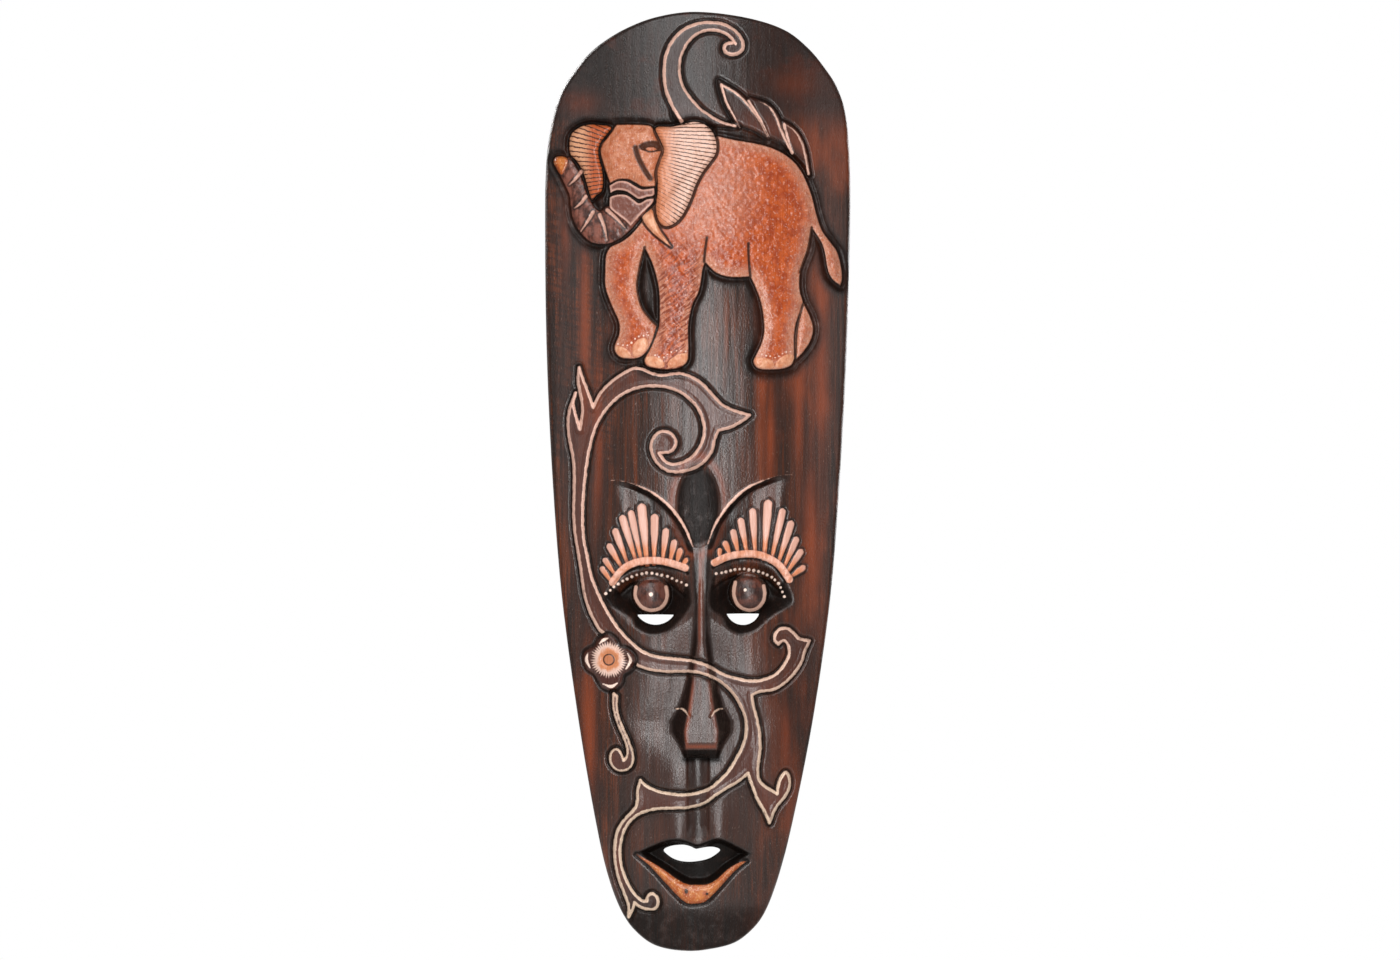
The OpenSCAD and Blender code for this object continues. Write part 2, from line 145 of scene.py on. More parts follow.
NAILS = [
    [-43.4, 321.3, -38, 320.3, -35.3, 316.3, -38, 315.6, -41.5, 316.3],
    [-34.3, 321, -31.5, 325, -27.3, 325.6, -26.3, 322, -29, 318, -33.5, 316],
    [-27.3, 315.6, -22, 315.9, -18, 313.2, -18, 310.3, -24, 310.8, -27.3, 312.6],
    [-15.3, 313.3, -11, 316.7, -6, 317.6, -5.3, 314.6, -8, 311.6, -15, 310.2],
    [30.4, 315.3, 35, 315.4, 39.6, 313.6, 39.8, 310, 33, 310.3, 30.3, 312.6],
    [42, 313.3, 46, 316.7, 50.4, 317, 50.8, 314, 48, 311.5, 42, 310.2]]

NAIL_DOTS = [
    [-42, 322.8, -37.5, 321.8, -34.8, 323.6, -31.5, 326.6, -26, 327.3],
    [-22.5, 316.8, -18.5, 315.3, -15.5, 317.4, -11, 319, -6.3, 318.8],
    [34, 317.2, 38.6, 316, 41.7, 315.5, 45.3, 318, 49.3, 318.8]]

SCROLL = [
    -8.5, 441, -13, 448.5, -16.5, 457, -17.7, 466, -17, 475.5, -14, 483, -8.5, 489.3, -1, 493,
    7, 494, 14, 493, 20, 489.5, 23.8, 484.5, 24, 480, 21, 477.3, 17, 477, 14.2, 479.3,
    15, 482.3, 18.5, 483.2]
SCROLL_INNER = [
    20.3, 482.5, 17.5, 486.3, 13, 489, 7, 490, 0.5, 488.3, -5, 483.5, -8.8, 476, -9.7, 468,
    -8, 460, -3.5, 453, 2, 447, 8, 443, 14, 440, 20, 438.5]

FLAMES = [
    [[11.5, 462.5, 12.8, 456, 15.5, 449, 20.5, 440], [20.5, 440, 30, 437, 37.5, 432.5],
     [37.5, 432.5, 33, 441.5, 28, 449.5, 22, 456, 11.5, 462.5]],
    [[28, 453.3, 31.5, 446, 35.5, 440, 38, 433.5], [38, 433.5, 45, 430, 50.5, 424.5],
     [50.5, 424.5, 48, 430.5, 45, 438, 42, 445, 37, 450.5, 28, 453.3]],
    [[45.5, 441, 48.5, 431, 51, 424], [51, 424, 56, 419, 59.5, 413],
     [59.5, 413, 58.5, 420, 57, 427, 54, 434, 50, 438.5, 45.5, 441]]]

VINE = [
    [-63, 210, -65, 222, -65.8, 235, -65.5, 250, -66, 262, -68, 272, -68.8, 281, -68, 288,
     -64.8, 297],
    [-64.8, 297, -66, 291, -64.5, 284, -62.5, 277.5],
    [-62.5, 277.5, -61, 287, -62, 296, -63.5, 303, -63, 310.5],
    [-63, 310.5, -60, 302, -57, 294, -55.3, 289],
    [-55.3, 289, -52, 296, -47, 301.5, -41, 306, -35, 309.3, -30, 309.5, -24, 307, -18, 306,
     -10, 307, -3, 305, 3, 301, 8, 295.5, 13, 290.5, 19, 287.5, 27.5, 285],
    [27.5, 285, 23, 281.5, 17, 278.5, 11, 277],
    [11, 277, 9, 272, 7.5, 266, 3.5, 260.5, -2, 257, -8, 255.3, -14, 255.2, -19, 257.5,
     -22.5, 261.5, -24.5, 267, -23.8, 272, -20.5, 275.8, -16, 276.2, -12.5, 273.5, -11.3, 270,
     -13, 266.8, -16, 265],
    [-20.5, 265, -17, 260.5, -12, 259, -6, 260.8, -1, 265, 2.5, 271, 3.5, 278, 2, 285,
     -2, 291.5, -8, 296.5, -15, 299.5, -24, 300.5, -32, 299.5, -40, 296, -47, 290, -52.5, 282,
     -56, 273, -58, 264, -59.5, 254, -60.5, 244, -61, 232, -60.5, 220, -58.5, 210, -56.5, 200,
     -53, 191, -49, 183, -43.5, 174, -37, 166.5, -30, 160.5, -22, 157.3, -12, 156, -3, 155,
     3, 153.5, 8, 151, 13, 148, 20, 145.8, 28, 144.3, 35, 145, 41, 147.5, 45.5, 152, 48.5, 158,
     48, 163.3, 45.5, 165.7, 42.8, 163.8],
    [42.8, 163.8, 40.8, 166, 41.3, 169.3, 44, 171.8, 48, 171.8, 51, 169.5, 54, 166.5,
     59.5, 165.3],
    [59.5, 165.3, 57, 160, 55, 154, 51.5, 148.5, 46, 143, 40, 139.7, 33, 138.8, 28.8, 137],
    [28.8, 137, 29.5, 131, 31.5, 124, 33, 115, 33, 106, 32, 99, 32.5, 92, 36, 88, 42.3, 84],
    [42.3, 84, 43, 89, 44.5, 93, 47, 95.5, 48.8, 92, 48.5, 87, 46, 82, 42.5, 78, 40, 73.5,
     38.2, 68.5],
    [38.2, 68.5, 36, 74, 32.5, 80, 29.5, 87, 26.8, 95.5],
    [26.8, 95.5, 22, 91.5, 16, 88, 9, 83.5, 3.5, 79.5, -3, 77.5, -12, 77, -21, 76.5, -29, 74.5,
     -35, 70.5, -39, 64.5, -41, 57, -41, 49, -39.5, 42, -36.5, 35, -33, 30, -29.5, 27,
     -27, 26.8],
    [-27, 26.8, -26.5, 29.5, -24, 31, -21.5, 29, -21, 25.5, -23, 22.8, -27, 22.7, -31, 24,
     -33.5, 26],
    [-33.5, 26, -34.5, 22.5, -36.7, 18],
    [-36.7, 18, -36.7, 24, -39, 31, -42, 39, -43.7, 47, -44, 56, -42.5, 64, -39, 70, -34, 75.5,
     -32, 79.5, -31.8, 86, -30.3, 91.5],
    [-30.3, 91.5, -27, 88.5, -21, 85.8, -13, 84.3, -5, 84, 0, 84.8, 6, 87, 11, 91, 16, 96,
     20.5, 103, 24, 110, 25.8, 117, 25.5, 124, 23, 131, 19, 137.5, 13.5, 143, 7, 147, 0, 149.3,
     -8, 149.5, -18, 149.5, -27, 151, -32.5, 153],
    [-52, 171.5, -54.5, 175.5, -57.5, 182, -60, 190, -61.5, 200, -63, 210]]

TENDRIL = [
    [-44.5, 137.5, -44.5, 130, -42.5, 122, -39, 114, -37.2, 108, -37.6, 103.5, -39.3, 101.8],
    [-39.3, 101.8, -41, 106.3, -43.6, 107.9, -46.2, 105, -46, 100.5, -43, 97, -38.5, 96.8,
     -35, 99.5, -34.3, 105, -36.5, 112.5, -40.3, 121, -42.7, 129, -42.6, 137.5]]

FLOWER_AT = (-47.0, 155.5)
FLOWER = [  # from the flower's middle
    [-13, 0.5], [-12, 4], [-7.2, 6.8], [-5, 10.6], [-0.8, 13], [3, 10.6], [5.6, 6.6],
    [11, 4.6], [13.6, 0], [11.2, -5], [7.2, -8], [6, -12.4], [1.8, -15.8], [-3.4, -14.2],
    [-7.2, -7.8], [-11.4, -4.6]]
FLOWER_LINES = [  # from the flower's middle
    [[-11.2, 3.4], [-12, -0.3], [-10.2, -4.4]], [[10, 3.4], [11.5, -0.4], [9.2, -4.8]],
    [[-5, 8.4], [-3, 10.3], [-0.4, 11.4]], [[-3.2, -12.9], [1.1, -14.3], [4.4, -12.5]]]
FLAME_LINES = [
    [12.6, 460.5, 15, 452, 18.6, 445, 22.3, 438],
    [12.6, 460.5, 20.5, 456, 27, 449.5, 33, 441, 37, 433],
    [50.3, 424.5, 44.5, 436, 41.5, 444, 38, 449, 32, 452.3],
    [27, 452, 31, 446, 34.5, 440, 38, 433],
    [59, 413.5, 57.7, 421.5, 55.5, 430, 52, 436, 46.5, 440], [46, 440, 48, 432, 50.7, 425]]

BROW_LEFT = [
    -46, 250.5, -39, 250, -31, 247.5, -23, 243.5, -15, 237, -9, 229.5, -5, 222, -2.5, 215.5]
BROW_RIGHT = [50, 253.5, 43, 253, 35, 250.5, 27, 247, 20, 241.5, 14, 234.5, 9, 226.5, 5.5, 217]
WING_FADE = 18.0
WING_LEFT_EDGE = [
    -2.5, 215.5, -1, 200, -1, 183, -8, 174, -24, 169, -40, 176, -50, 188, -46.5, 212,
    -40.5, 232, -46, 250.5]
WING_RIGHT_EDGE = [
    5.5, 217, 4.5, 200, 5, 183, 10, 175, 24, 170, 38, 176, 50, 188, 50, 212, 45, 235, 50, 253.5]

SOCKET_LEFT = [
    -49, 187, -39, 180.5, -34.3, 177.6, -31.6, 172.6, -25, 169.4, -16.5, 171, -10, 176.8,
    -5, 183.2, -4, 188, -6.5, 198, -14, 203, -24, 205, -35, 202.5, -44, 196]
SOCKET_RIGHT = [
    6.8, 184.5, 13.3, 178.8, 16.3, 173, 22.5, 169.6, 30, 171.3, 36.3, 176.9, 41, 180.2, 50, 186,
    46, 197, 40, 204, 30, 208, 18, 207, 9, 200]
EYES = [(-24.3, 190.0), (27.0, 191.0)]
EYE_R = 8.4  # of the painted part
BALL_R = 13.0  # of the carved ball
BALL_SHOWN = 10.6
BALL_SINK = 2.6
RINGS = [
    [-32.6, 194, -33, 189.5, -31, 185, -28, 182.6, -24.5, 181.7, -20.3, 182.6, -17.2, 185.6,
     -16.1, 190, -16.7, 194],
    [20, 196.5, 19.2, 191, 20.3, 186.4, 23, 183.2, 27.2, 181.7, 31.5, 182.7, 34.6, 186,
     35.6, 190.5, 35, 194.5]]
LIDS = [
    [-41, 190, -35, 195, -27, 197.7, -20, 197.3, -13, 194, -7, 189],
    [8.5, 193, 14, 197, 21, 199.5, 29, 199.5, 37, 197, 43, 192]]
CREASES = [
    [-45.5, 193.5, -40, 200, -33, 203.6, -25, 205.2, -17, 204.6, -10, 203, -5.5, 201.5],
    [8.5, 204.5, 15, 207.3, 22, 208.8, 30, 209, 37, 206.7, 42, 203, 46, 197]]
LASH_ARCS = [
    [-45, 196.5, -41, 202, -36, 205.7, -29, 207.8, -21, 208, -13, 206.4, -6.5, 204.2],
    [9, 207, 15, 209.8, 22, 211.3, 30, 211.5, 37, 209.5, 43, 205.7, 47, 200.5, 48.7, 198]]
LASH_EXTRA = 2.2  # how far a lash runs on past its tip
LASH_TONE = 14.0  # length over which its colour changes
LASHES = [  # tip, root, half width
    [(-50, 203), (-45.5, 196.5), 1.5], [(-48.5, 207.5), (-43.5, 200.5), 1.6],
    [(-46.3, 215), (-40.5, 205), 1.9], [(-43.3, 223), (-37.5, 207.5), 2.0],
    [(-39.5, 230), (-33, 209), 2.2], [(-35, 232.5), (-30, 209), 2.0],
    [(-29.5, 236), (-27, 209), 2.7], [(-22.7, 230.5), (-23, 209), 2.3],
    [(-16.8, 223), (-18.5, 208.5), 2.0], [(-12.5, 217), (-14.5, 207.5), 1.8],
    [(-9.5, 212.5), (-11, 206.5), 1.7], [(-6.7, 207.5), (-8.3, 205), 1.4],
    [(11.7, 212.5), (11.5, 209), 1.3], [(15, 216.5), (17.5, 210.5), 1.7],
    [(19, 222.5), (21.5, 212), 1.9], [(23, 228.5), (26, 212.5), 2.0],
    [(29.2, 233.5), (30.5, 212.5), 2.1], [(37.3, 238), (35.5, 212), 2.5],
    [(44.8, 233.5), (39.5, 210), 2.1], [(49.3, 227), (43, 207.5), 2.1],
    [(52, 218.5), (46, 205), 1.9], [(54.3, 212), (47.5, 202), 1.8],
    [(55.3, 203.7), (49.5, 199.5), 1.7]]
LID_DOTS = [
    [-48.5, 190.5, -40, 197, -28, 201.4, -16, 199.5, -6, 195.3],
    [10, 201, 22, 203.4, 33, 202, 42, 197, 46, 189]]
LID_DOT_COUNT = 17
LID_DOT_R = 0.75
NAIL_DOT_COUNT = 7
NAIL_DOT_R = 0.42
DOT_DRIFT = 0.12

PUPILS = [(-24.7, 190.2, 1.1), (25.2, 192.5, 0.8)]

NOSTRILS = [
    [-11.3, 129.4, -8.5, 129.7, -6.5, 128.5, -4.6, 126],
    [7.4, 126, 9, 128.3, 11, 129.5, 13.3, 129.6]]
NOSE_X = 2.0
MIDDLE_X = 0.3  # of the hollow between the brows and of the groove under the nose
NOSE_TOP = [(104, 7.5), (109, 8.0), (118, 8.6), (128, 6.6), (140, 5.0), (150, 3.6),
            (165, 1.5), (215, 1.1)]
NOSE_FOOT = [(104, 9.0), (110, 12.0), (117, 16.5), (123, 17.0), (130, 13.0), (140, 9.5),
             (150, 7.2), (170, 5.0), (215, 4.0)]

MOUTH = [
    [-31.5, 53, -24, 56.5, -17, 59.5, -10, 60.3, -5, 59, 0, 57.3, 5, 59, 10, 60.7, 15, 59.5,
     22, 55.8, 28, 52.3],
    [28, 52.3, 22, 48.2, 16, 44.5, 10, 39.2, 5, 36.6, -1, 36.2, -6, 36.8, -12, 40.2, -19, 45,
     -26, 49, -31.5, 53]]
MOUTH_HOLE = [
    -18, 54, -14, 56.3, -8, 57, -4, 56.2, -1, 54.7, 1, 55, 5, 55.7, 9, 55.7, 12, 54.2, 9, 51.3,
    5, 49.2, 0, 48.1, -5, 47.8, -10, 48.5, -14.5, 50.5]
LIP = [
    [-32.3, 51.7, -26, 48.5, -19, 44.5, -12, 39.5, -6, 36.2, -1, 35.7, 5, 36, 10, 38.5, 16, 44,
     22, 47.5, 25.8, 48.2],
    [25.8, 48.2, 20, 43.5, 14, 37, 8.5, 31, 4, 27, -1, 25.8, -6, 26.3, -11, 30.5, -18, 38,
     -25, 45.5, -32.3, 51.7]]

SLITS = [(-22.3, 179.3, 9.8, 5.3), (24.1, 179.8, 8.6, 5.9)]  # top middle, half width, height

# ---------------------------------------------------------------- curves and distances


def spline(points, closed=False, steps=6):
    """Smooth curve through the points, which are listed as across, up, across, up..."""
    p = np.reshape(points, (-1, 2)).astype(float)
    if closed:
        ext = np.vstack([p[-1], p, p[0], p[1]])
    else:
        ext = np.vstack([2 * p[0] - p[1], p, 2 * p[-1] - p[-2]])
    t = (np.arange(steps) / steps)[:, None]
    parts = []
    for a, b, c, d in zip(ext[:-3], ext[1:-2], ext[2:-1], ext[3:]):
        bend = 2 * b + (c - a) * t + (2 * a - 5 * b + 4 * c - d) * t**2
        parts.append(0.5 * (bend + (3 * b - a - 3 * c + d) * t**3))
    if not closed:
        parts.append(p[-1:])
    return np.vstack(parts)


def cornered(stretches, steps=6):
    """Closed outline of smooth stretches that meet at sharp corners."""
    return np.vstack([spline(s, steps=steps)[:-1] for s in stretches])


def even(curve, spacing, closed=False):
    """The same curve with its points evenly spaced."""
    p = np.vstack([curve, curve[:1]]) if closed else curve
    along = np.concatenate([[0], np.cumsum(np.hypot(*np.diff(p, axis=0).T))])
    count = max(3, int(round(along[-1] / spacing)))
    at = np.linspace(0, along[-1], count + 1)
    if closed:
        at = at[:-1]
    return np.column_stack([np.interp(at, along, p[:, 0]), np.interp(at, along, p[:, 1])])


def smooth(value, start, end):
    """0 up to start, 1 from end on, and an eased ramp between them."""
    t = np.clip((value - start) / (end - start), 0.0, 1.0)
    return t * t * (3.0 - 2.0 * t)


def hump(value, width):
    """1 where the value is 0, falling away on both sides over the width."""
    return np.exp(-((value / width) ** 2))


def mound(x, z, wide, tall):
    """1 at a spot on the front, falling away over these half sizes."""
    return np.exp(-(((X - x) / wide) ** 2) - ((Z - z) / tall) ** 2)


def beside(a, b, reach):
    """The part of the front around a straight stretch, and its distance from the stretch."""
    lo = (np.minimum(a, b) - reach - (xs[0], zs[0])) / GRID
    hi = (np.maximum(a, b) + reach - (xs[0], zs[0])) / GRID
    part = np.s_[max(int(lo[1]), 0): int(hi[1]) + 2, max(int(lo[0]), 0): int(hi[0]) + 2]
    x = X[part] - a[0]
    z = Z[part] - a[1]
    dx, dz = b - a
    t = np.clip((x * dx + z * dz) / max(dx * dx + dz * dz, 1e-9), 0, 1)
    return part, np.hypot(x - t * dx, z - t * dz)


def near(curve, closed=False, reach=FAR):
    """Distance of each front point from the curve, up to reach."""
    field = np.full(X.shape, reach)
    ends = np.roll(curve, -1, axis=0) if closed else curve[1:]
    starts = curve if closed else curve[:-1]
    for a, b in zip(starts, ends):
        part, away = beside(a, b, reach)
        field[part] = np.minimum(field[part], away)
    return field


def inside(outline, x_row=xs, z_col=zs):
    """True at the lattice points within the closed outline."""
    held = np.zeros((len(z_col), len(x_row)), bool)
    for a, b in zip(outline, np.roll(outline, -1, axis=0)):
        if a[1] == b[1]:
            continue
        lo_z, hi_z = min(a[1], b[1]), max(a[1], b[1])
        rows = np.nonzero((z_col >= lo_z) & (z_col < hi_z))[0]
        for j in rows:
            cross = a[0] + (z_col[j] - a[1]) * (b[0] - a[0]) / (b[1] - a[1])
            held[j, x_row > cross] ^= True
    return held


def area(outline, reach=FAR):
    """Distance from the outline's edge, positive within it and negative outside."""
    away = near(outline, closed=True, reach=reach)
    return np.where(inside(outline), away, -away)


def blob(points, reach=FAR):
    """The same for a smooth outline through the points."""
    return area(spline(points, closed=True), reach)


def stroke(curve, width):
    """A painted or carved line: positive within it."""
    return width / 2 - near(curve)


def brushed(curve, *widths):
    """A painted line whose width changes evenly along it through these widths."""
    along = np.linspace(0, len(widths) - 1, len(curve))
    half = np.interp(along, range(len(widths)), widths) / 2
    field = np.full(X.shape, -FAR)
    for a, b, wide in zip(curve[:-1], curve[1:], half):
        part, away = beside(a, b, NEARBY)
        field[part] = np.maximum(field[part], wide - away)
    return field


def union(*fields):
    """What is inside any of the fields."""
    return np.maximum.reduce(fields)


def spots_within(spots, radius):
    """Distance inside the nearest of some round spots of this radius."""
    return radius - np.minimum(*[np.hypot(X - x, Z - z) for x, z in spots])


def noise(x, z, size_x, size_z, seed):
    """Smooth random values from -1 to 1, one blob to each size."""
    rng = np.random.default_rng(seed)
    table = rng.uniform(-1, 1, (128, 128))
    u = x / size_x + 64.0
    v = z / size_z + 7.0
    i = np.floor(u).astype(int)
    j = np.floor(v).astype(int)
    fu = smooth(u - i, 0, 1)
    fv = smooth(v - j, 0, 1)
    a = table[j % 128, i % 128] * (1 - fu) + table[j % 128, (i + 1) % 128] * fu
    b = table[(j + 1) % 128, i % 128] * (1 - fu) + table[(j + 1) % 128, (i + 1) % 128] * fu
    return a * (1 - fv) + b * fv


def barrel(x, z, crown, cross):
    """Height of a face that is round both ways."""
    ring = (LONG_R - cross) + np.sqrt(np.maximum(cross**2 - x**2, 0))
    return np.sqrt(ring**2 - (z - ART_LEN / 2) ** 2) - (LONG_R - crown)


# ---------------------------------------------------------------- the carving's parts as fields

VINE_LINE, SCROLL_LINE, SCROLL_INNER_LINE, TENDRIL_LINE = 1.7, 1.9, 1.6, 1.3  # widths
ARCH_W = 3.8
RING_W = 1.8

board_curve = even(spline(OUTLINE, closed=True, steps=24), 0.8, closed=True)
board = area(board_curve, reach=16.0)

body = union(area(cornered(BODY)), area(cornered(FAR_HIND)))
ear_left = blob(EAR_LEFT)
ear_right = blob(EAR_RIGHT)
ears = union(ear_left, ear_right)
head = area(cornered(HEAD))
jaw = union(area(cornered(UPPER_JAW)), area(cornered(LOWER_JAW)))
trunk = area(cornered(TRUNK))
trunk_tip = blob(TRUNK_TIP)
tusk = area(cornered(TUSK))
nails = union(*[blob(n, 3.0) for n in NAILS])
animal = union(body, ear_left, ear_right, head, jaw, trunk, trunk_tip, tusk)

vine_curve = cornered(VINE, steps=5)
vine = area(vine_curve)
scroll_curve = spline(SCROLL + SCROLL_INNER, closed=True)
scroll = area(scroll_curve)
tendril_curve = cornered(TENDRIL)
tendril = area(tendril_curve)
flames = [cornered(f) for f in FLAMES]
flame = union(*[area(f) for f in flames])

flower = blob(np.add(FLOWER, FLOWER_AT))
flower_r = np.hypot(X - FLOWER_AT[0], Z - FLOWER_AT[1])


def lash_fields():
    """Each lash is a petal: the field is positive in one, and the tone runs from root to tip."""
    field = np.full(X.shape, -FAR)
    tone = np.zeros(X.shape)
    for tip, base, half in LASHES:
        axis = np.subtract(tip, base)
        axis = axis * (1 + LASH_EXTRA / np.hypot(*axis))
        length = np.hypot(*axis)
        ux, uz = axis / length
        t = ((X - base[0]) * ux + (Z - base[1]) * uz) / length
        side = np.abs((Z - base[1]) * ux - (X - base[0]) * uz)
        s = np.clip(t, 0, 1)
        width = half * (0.42 + 0.46 * smooth(s, 0.0, 0.75))
        bend = np.clip((s - 1 + width / length) * length / np.maximum(width, 0.1), 0, 1)
        width = width * np.sqrt(1 - bend**2)
        here = width - side
        here = np.where(t > 1, -np.hypot((t - 1) * length, side), here)
        here = np.where(t < -0.15, -FAR, here)
        tone = np.where(here > field, np.clip(t * length / LASH_TONE, 0, 1), tone)
        field = np.maximum(field, here)
    return np.clip(field, -FAR, FAR), tone


lash, lash_tone = lash_fields()
arch = union(*[stroke(spline(a), ARCH_W) for a in LASH_ARCS])
ring = union(*[stroke(spline(r), RING_W) for r in RINGS])
lid_line = np.minimum(*[near(spline(c)) for c in LIDS])
crease = np.minimum(*[near(spline(c)) for c in CREASES])
sockets = [blob(s, 16.0) for s in (SOCKET_LEFT, SOCKET_RIGHT)]
socket = union(*sockets)
brow_curves = [spline(BROW_LEFT), spline(BROW_RIGHT)]
mouth = area(cornered(MOUTH))
mouth_hole_curve = spline(MOUTH_HOLE, closed=True)
mouth_hole = area(mouth_hole_curve)
lip = area(cornered(LIP))
nostril = np.minimum(*[near(spline(n)) for n in NOSTRILS])


def slit_curve(at):
    """Edge of an eye slit: flat above and round below."""
    middle_x, top_z, half_w, tall = at
    radius = (half_w**2 + tall**2) / (2 * tall)
    sweep = math.asin(half_w / radius)
    turns = np.linspace(-math.pi / 2 - sweep, -math.pi / 2 + sweep, 40)
    x = middle_x + radius * np.cos(turns)
    z = top_z + radius - tall + radius * np.sin(turns)
    return even(np.column_stack([x, z]), 0.6, closed=True)


slit_curves = [slit_curve(at) for at in SLITS]
slit = union(*[area(c) for c in slit_curves])


def dots(lines, count, radius, seed=5):
    """Small round dots spread evenly along the lines."""
    rng = np.random.default_rng(seed)
    field = np.full(X.shape, -FAR)
    for line in lines:
        curve = spline(line)
        step = np.hypot(*np.diff(curve, axis=0).T).sum() / count
        for x, z in even(curve, step):
            size = radius * rng.uniform(0.85, 1.15)
            away = np.hypot(X - x - rng.normal(0, DOT_DRIFT), Z - z - rng.normal(0, DOT_DRIFT))
            field = np.maximum(field, size - away)
    return field


lid_dots = dots(LID_DOTS, LID_DOT_COUNT, LID_DOT_R)
nail_dots = dots(NAIL_DOTS, NAIL_DOT_COUNT, NAIL_DOT_R)
pupils = union(*[r - np.hypot(X - x, Z - z) for x, z, r in PUPILS])


def pale_lines():
    """The long pale lines that follow the vines, the scroll, the flames and the brows."""
    lines = stroke(np.vstack([vine_curve, vine_curve[:1]]), VINE_LINE)
    lines = np.where(flower > -1.5, -FAR, lines)
    lines = union(lines, stroke(spline(SCROLL), SCROLL_LINE))
    lines = union(lines, stroke(spline(SCROLL_INNER), SCROLL_INNER_LINE))
    lines = union(lines, *[brushed(spline(c), 1.5, 1.3, 0.4) for c in FLAME_LINES])
    lines = union(lines, stroke(np.vstack([tendril_curve, tendril_curve[:1]]), TENDRIL_LINE))
    lines = union(lines, *[brushed(c, 0.1, 0.2, 1.3, 1.8, 1.5, 0.6) for c in brow_curves])
    return union(lines, *[brushed(spline(n), 0.6, 1.3, 0.6) for n in NOSTRILS])


def petal_lines():
    """A short pale line at each petal's end."""
    return union(*[brushed(spline(np.add(c, FLOWER_AT)), 0.5, 1.7, 0.5) for c in FLOWER_LINES])


pale = pale_lines()

# ---------------------------------------------------------------- the carved face's height

NOSE_LOW, NOSE_HIGH = 103.5, 222.0
NOSE_SINK = 3.6  # how far the cheeks drop beside the nose
NOSTRIL_CUT = 0.7
WING_DEPTH = 5.0
BOWL_DEPTH = 7.6
OVAL_DEPTH = 2.6
LID_CUT = 1.0
CREASE_CUT = 1.2
ARCH_LIFT = 0.5
CHANNEL_DEPTH = 3.4
MOUTH_DEPTH = 6.5
LIP_LIFT = 1.2
LIP_CUT = 1.0
GROOVE_DEPTH = 1.5  # around the elephant
EAR_LIFT = 1.6
EAR_CUT = 0.9
NAIL_LIFT = 0.5
FOLD_CUT = 0.6
PLANT_LIFT = 1.3
PLANT_CUT = 1.2
FLOWER_LIFT = 1.2
FLOWER_CUT = 0.8
LASH_LIFT = 0.5
LASH_CUT = 0.5
LINE_LIFT = 0.35  # thickness of the long pale lines
DOT_LIFT = 0.3
THINNEST = 6.0
SWELLINGS = (  # across, up, half width, half height, lift: beside the groove, and the chin
    (-12.0, 92, 10, 20, 1.8), (-10.8, 60, 8, 17, 3.4), (13.5, 92, 10, 20, 1.8),
    (12.15, 60, 8, 17, 3.4), (-2, 30, 26, 24, 1.0))

nose_side = np.abs(X - NOSE_X)
nose_top = np.interp(Z, *zip(*NOSE_TOP))
nose_foot = np.interp(Z, *zip(*NOSE_FOOT))
brow_oval = ((X - MIDDLE_X) / 11.5) ** 2 + ((Z - 237) / 21.5) ** 2


def wing_depth():
    """The brow line is a sharp step down, and the hollow below it fades out over the cheeks."""
    depth = np.zeros(X.shape)
    for held, from_edge, from_brow, taper in wings:
        fade = smooth(from_edge, 0, WING_FADE) * taper
        step = smooth(from_brow, 0.6, 3.4)
        depth = np.maximum(depth, np.where(held, WING_DEPTH * step * fade**0.6, 0))
    return depth


def wing_fields(brow_line, edge):
    """What lies below a brow line, distances from its edge and its brow, and its outer fade."""
    held = inside(cornered([brow_line, edge]))
    end = np.abs(brow_line[::2]).max()
    taper = smooth(np.abs(X), end, end - 15.0)
    return held, near(spline(edge), reach=WING_FADE), near(spline(brow_line)), taper


wings = [wing_fields(BROW_LEFT, WING_LEFT_EDGE), wing_fields(BROW_RIGHT, WING_RIGHT_EDGE)]


def eye_height(ground):
    """Bowls with an eyeball in each, under the creased lids."""
    height = ground.copy()
    bowl = np.zeros(X.shape)
    for field in sockets:
        bowl = np.maximum(bowl, BOWL_DEPTH * smooth(field, -1.5, 10.0) ** 0.8)
    height = height - bowl
    for x, z in EYES:
        away = np.hypot(X - x, Z - z)
        ball = BALL_R - np.sqrt(np.maximum(BALL_R**2 - away**2, 0.0))
        centre = barrel(x, z, CROWN, CROSS_R) - BALL_SINK
        dome = np.where(away < BALL_SHOWN, centre - ball, -NONE)
        height = np.maximum(height, dome)
    height = height - LID_CUT * hump(lid_line, 0.9)
    height = height - CREASE_CUT * hump(crease, 1.0)
    return height + ARCH_LIFT * smooth(arch, -0.5, 0.6)


def nose_profile():
    """Height of the nose's ridge from the wall, by height up the mask."""
    tip = CROWN + NOSE_RISE
    up = [100, 104.5, 108.5, 112, 117, 124, 140, 160, 190, 216, 224]
    out = [-9, -7.5, -2.4, -0.4, 0, -0.25, -1.4, -2.8, -3.6, -4.2, -5.5]
    return np.interp(Z, up, tip + np.array(out))


def nose_height(ground):
    """A long ridge that widens to the nostrils and stops above a shadowed floor."""
    near_nose = hump(nose_side - nose_foot, 15.0)
    span = smooth(Z, 92, 118) * (1 - smooth(Z, 150, 180))
    ground = ground - NOSE_SINK * near_nose * span
    crest = nose_profile() - 0.35 * np.minimum(nose_side / np.maximum(nose_top, 1), 1) ** 2
    slope = np.clip((nose_side - nose_top) / np.maximum(nose_foot - nose_top, 0.5), 0, 1)
    ridge = crest - (crest - ground) * smooth(slope, -0.12, 1.0)
    held = (slope < 1) & (Z > NOSE_LOW) & (Z < NOSE_HIGH)
    out = np.where(held, np.maximum(ridge, ground), ground)
    return out - NOSTRIL_CUT * hump(nostril, 0.8)


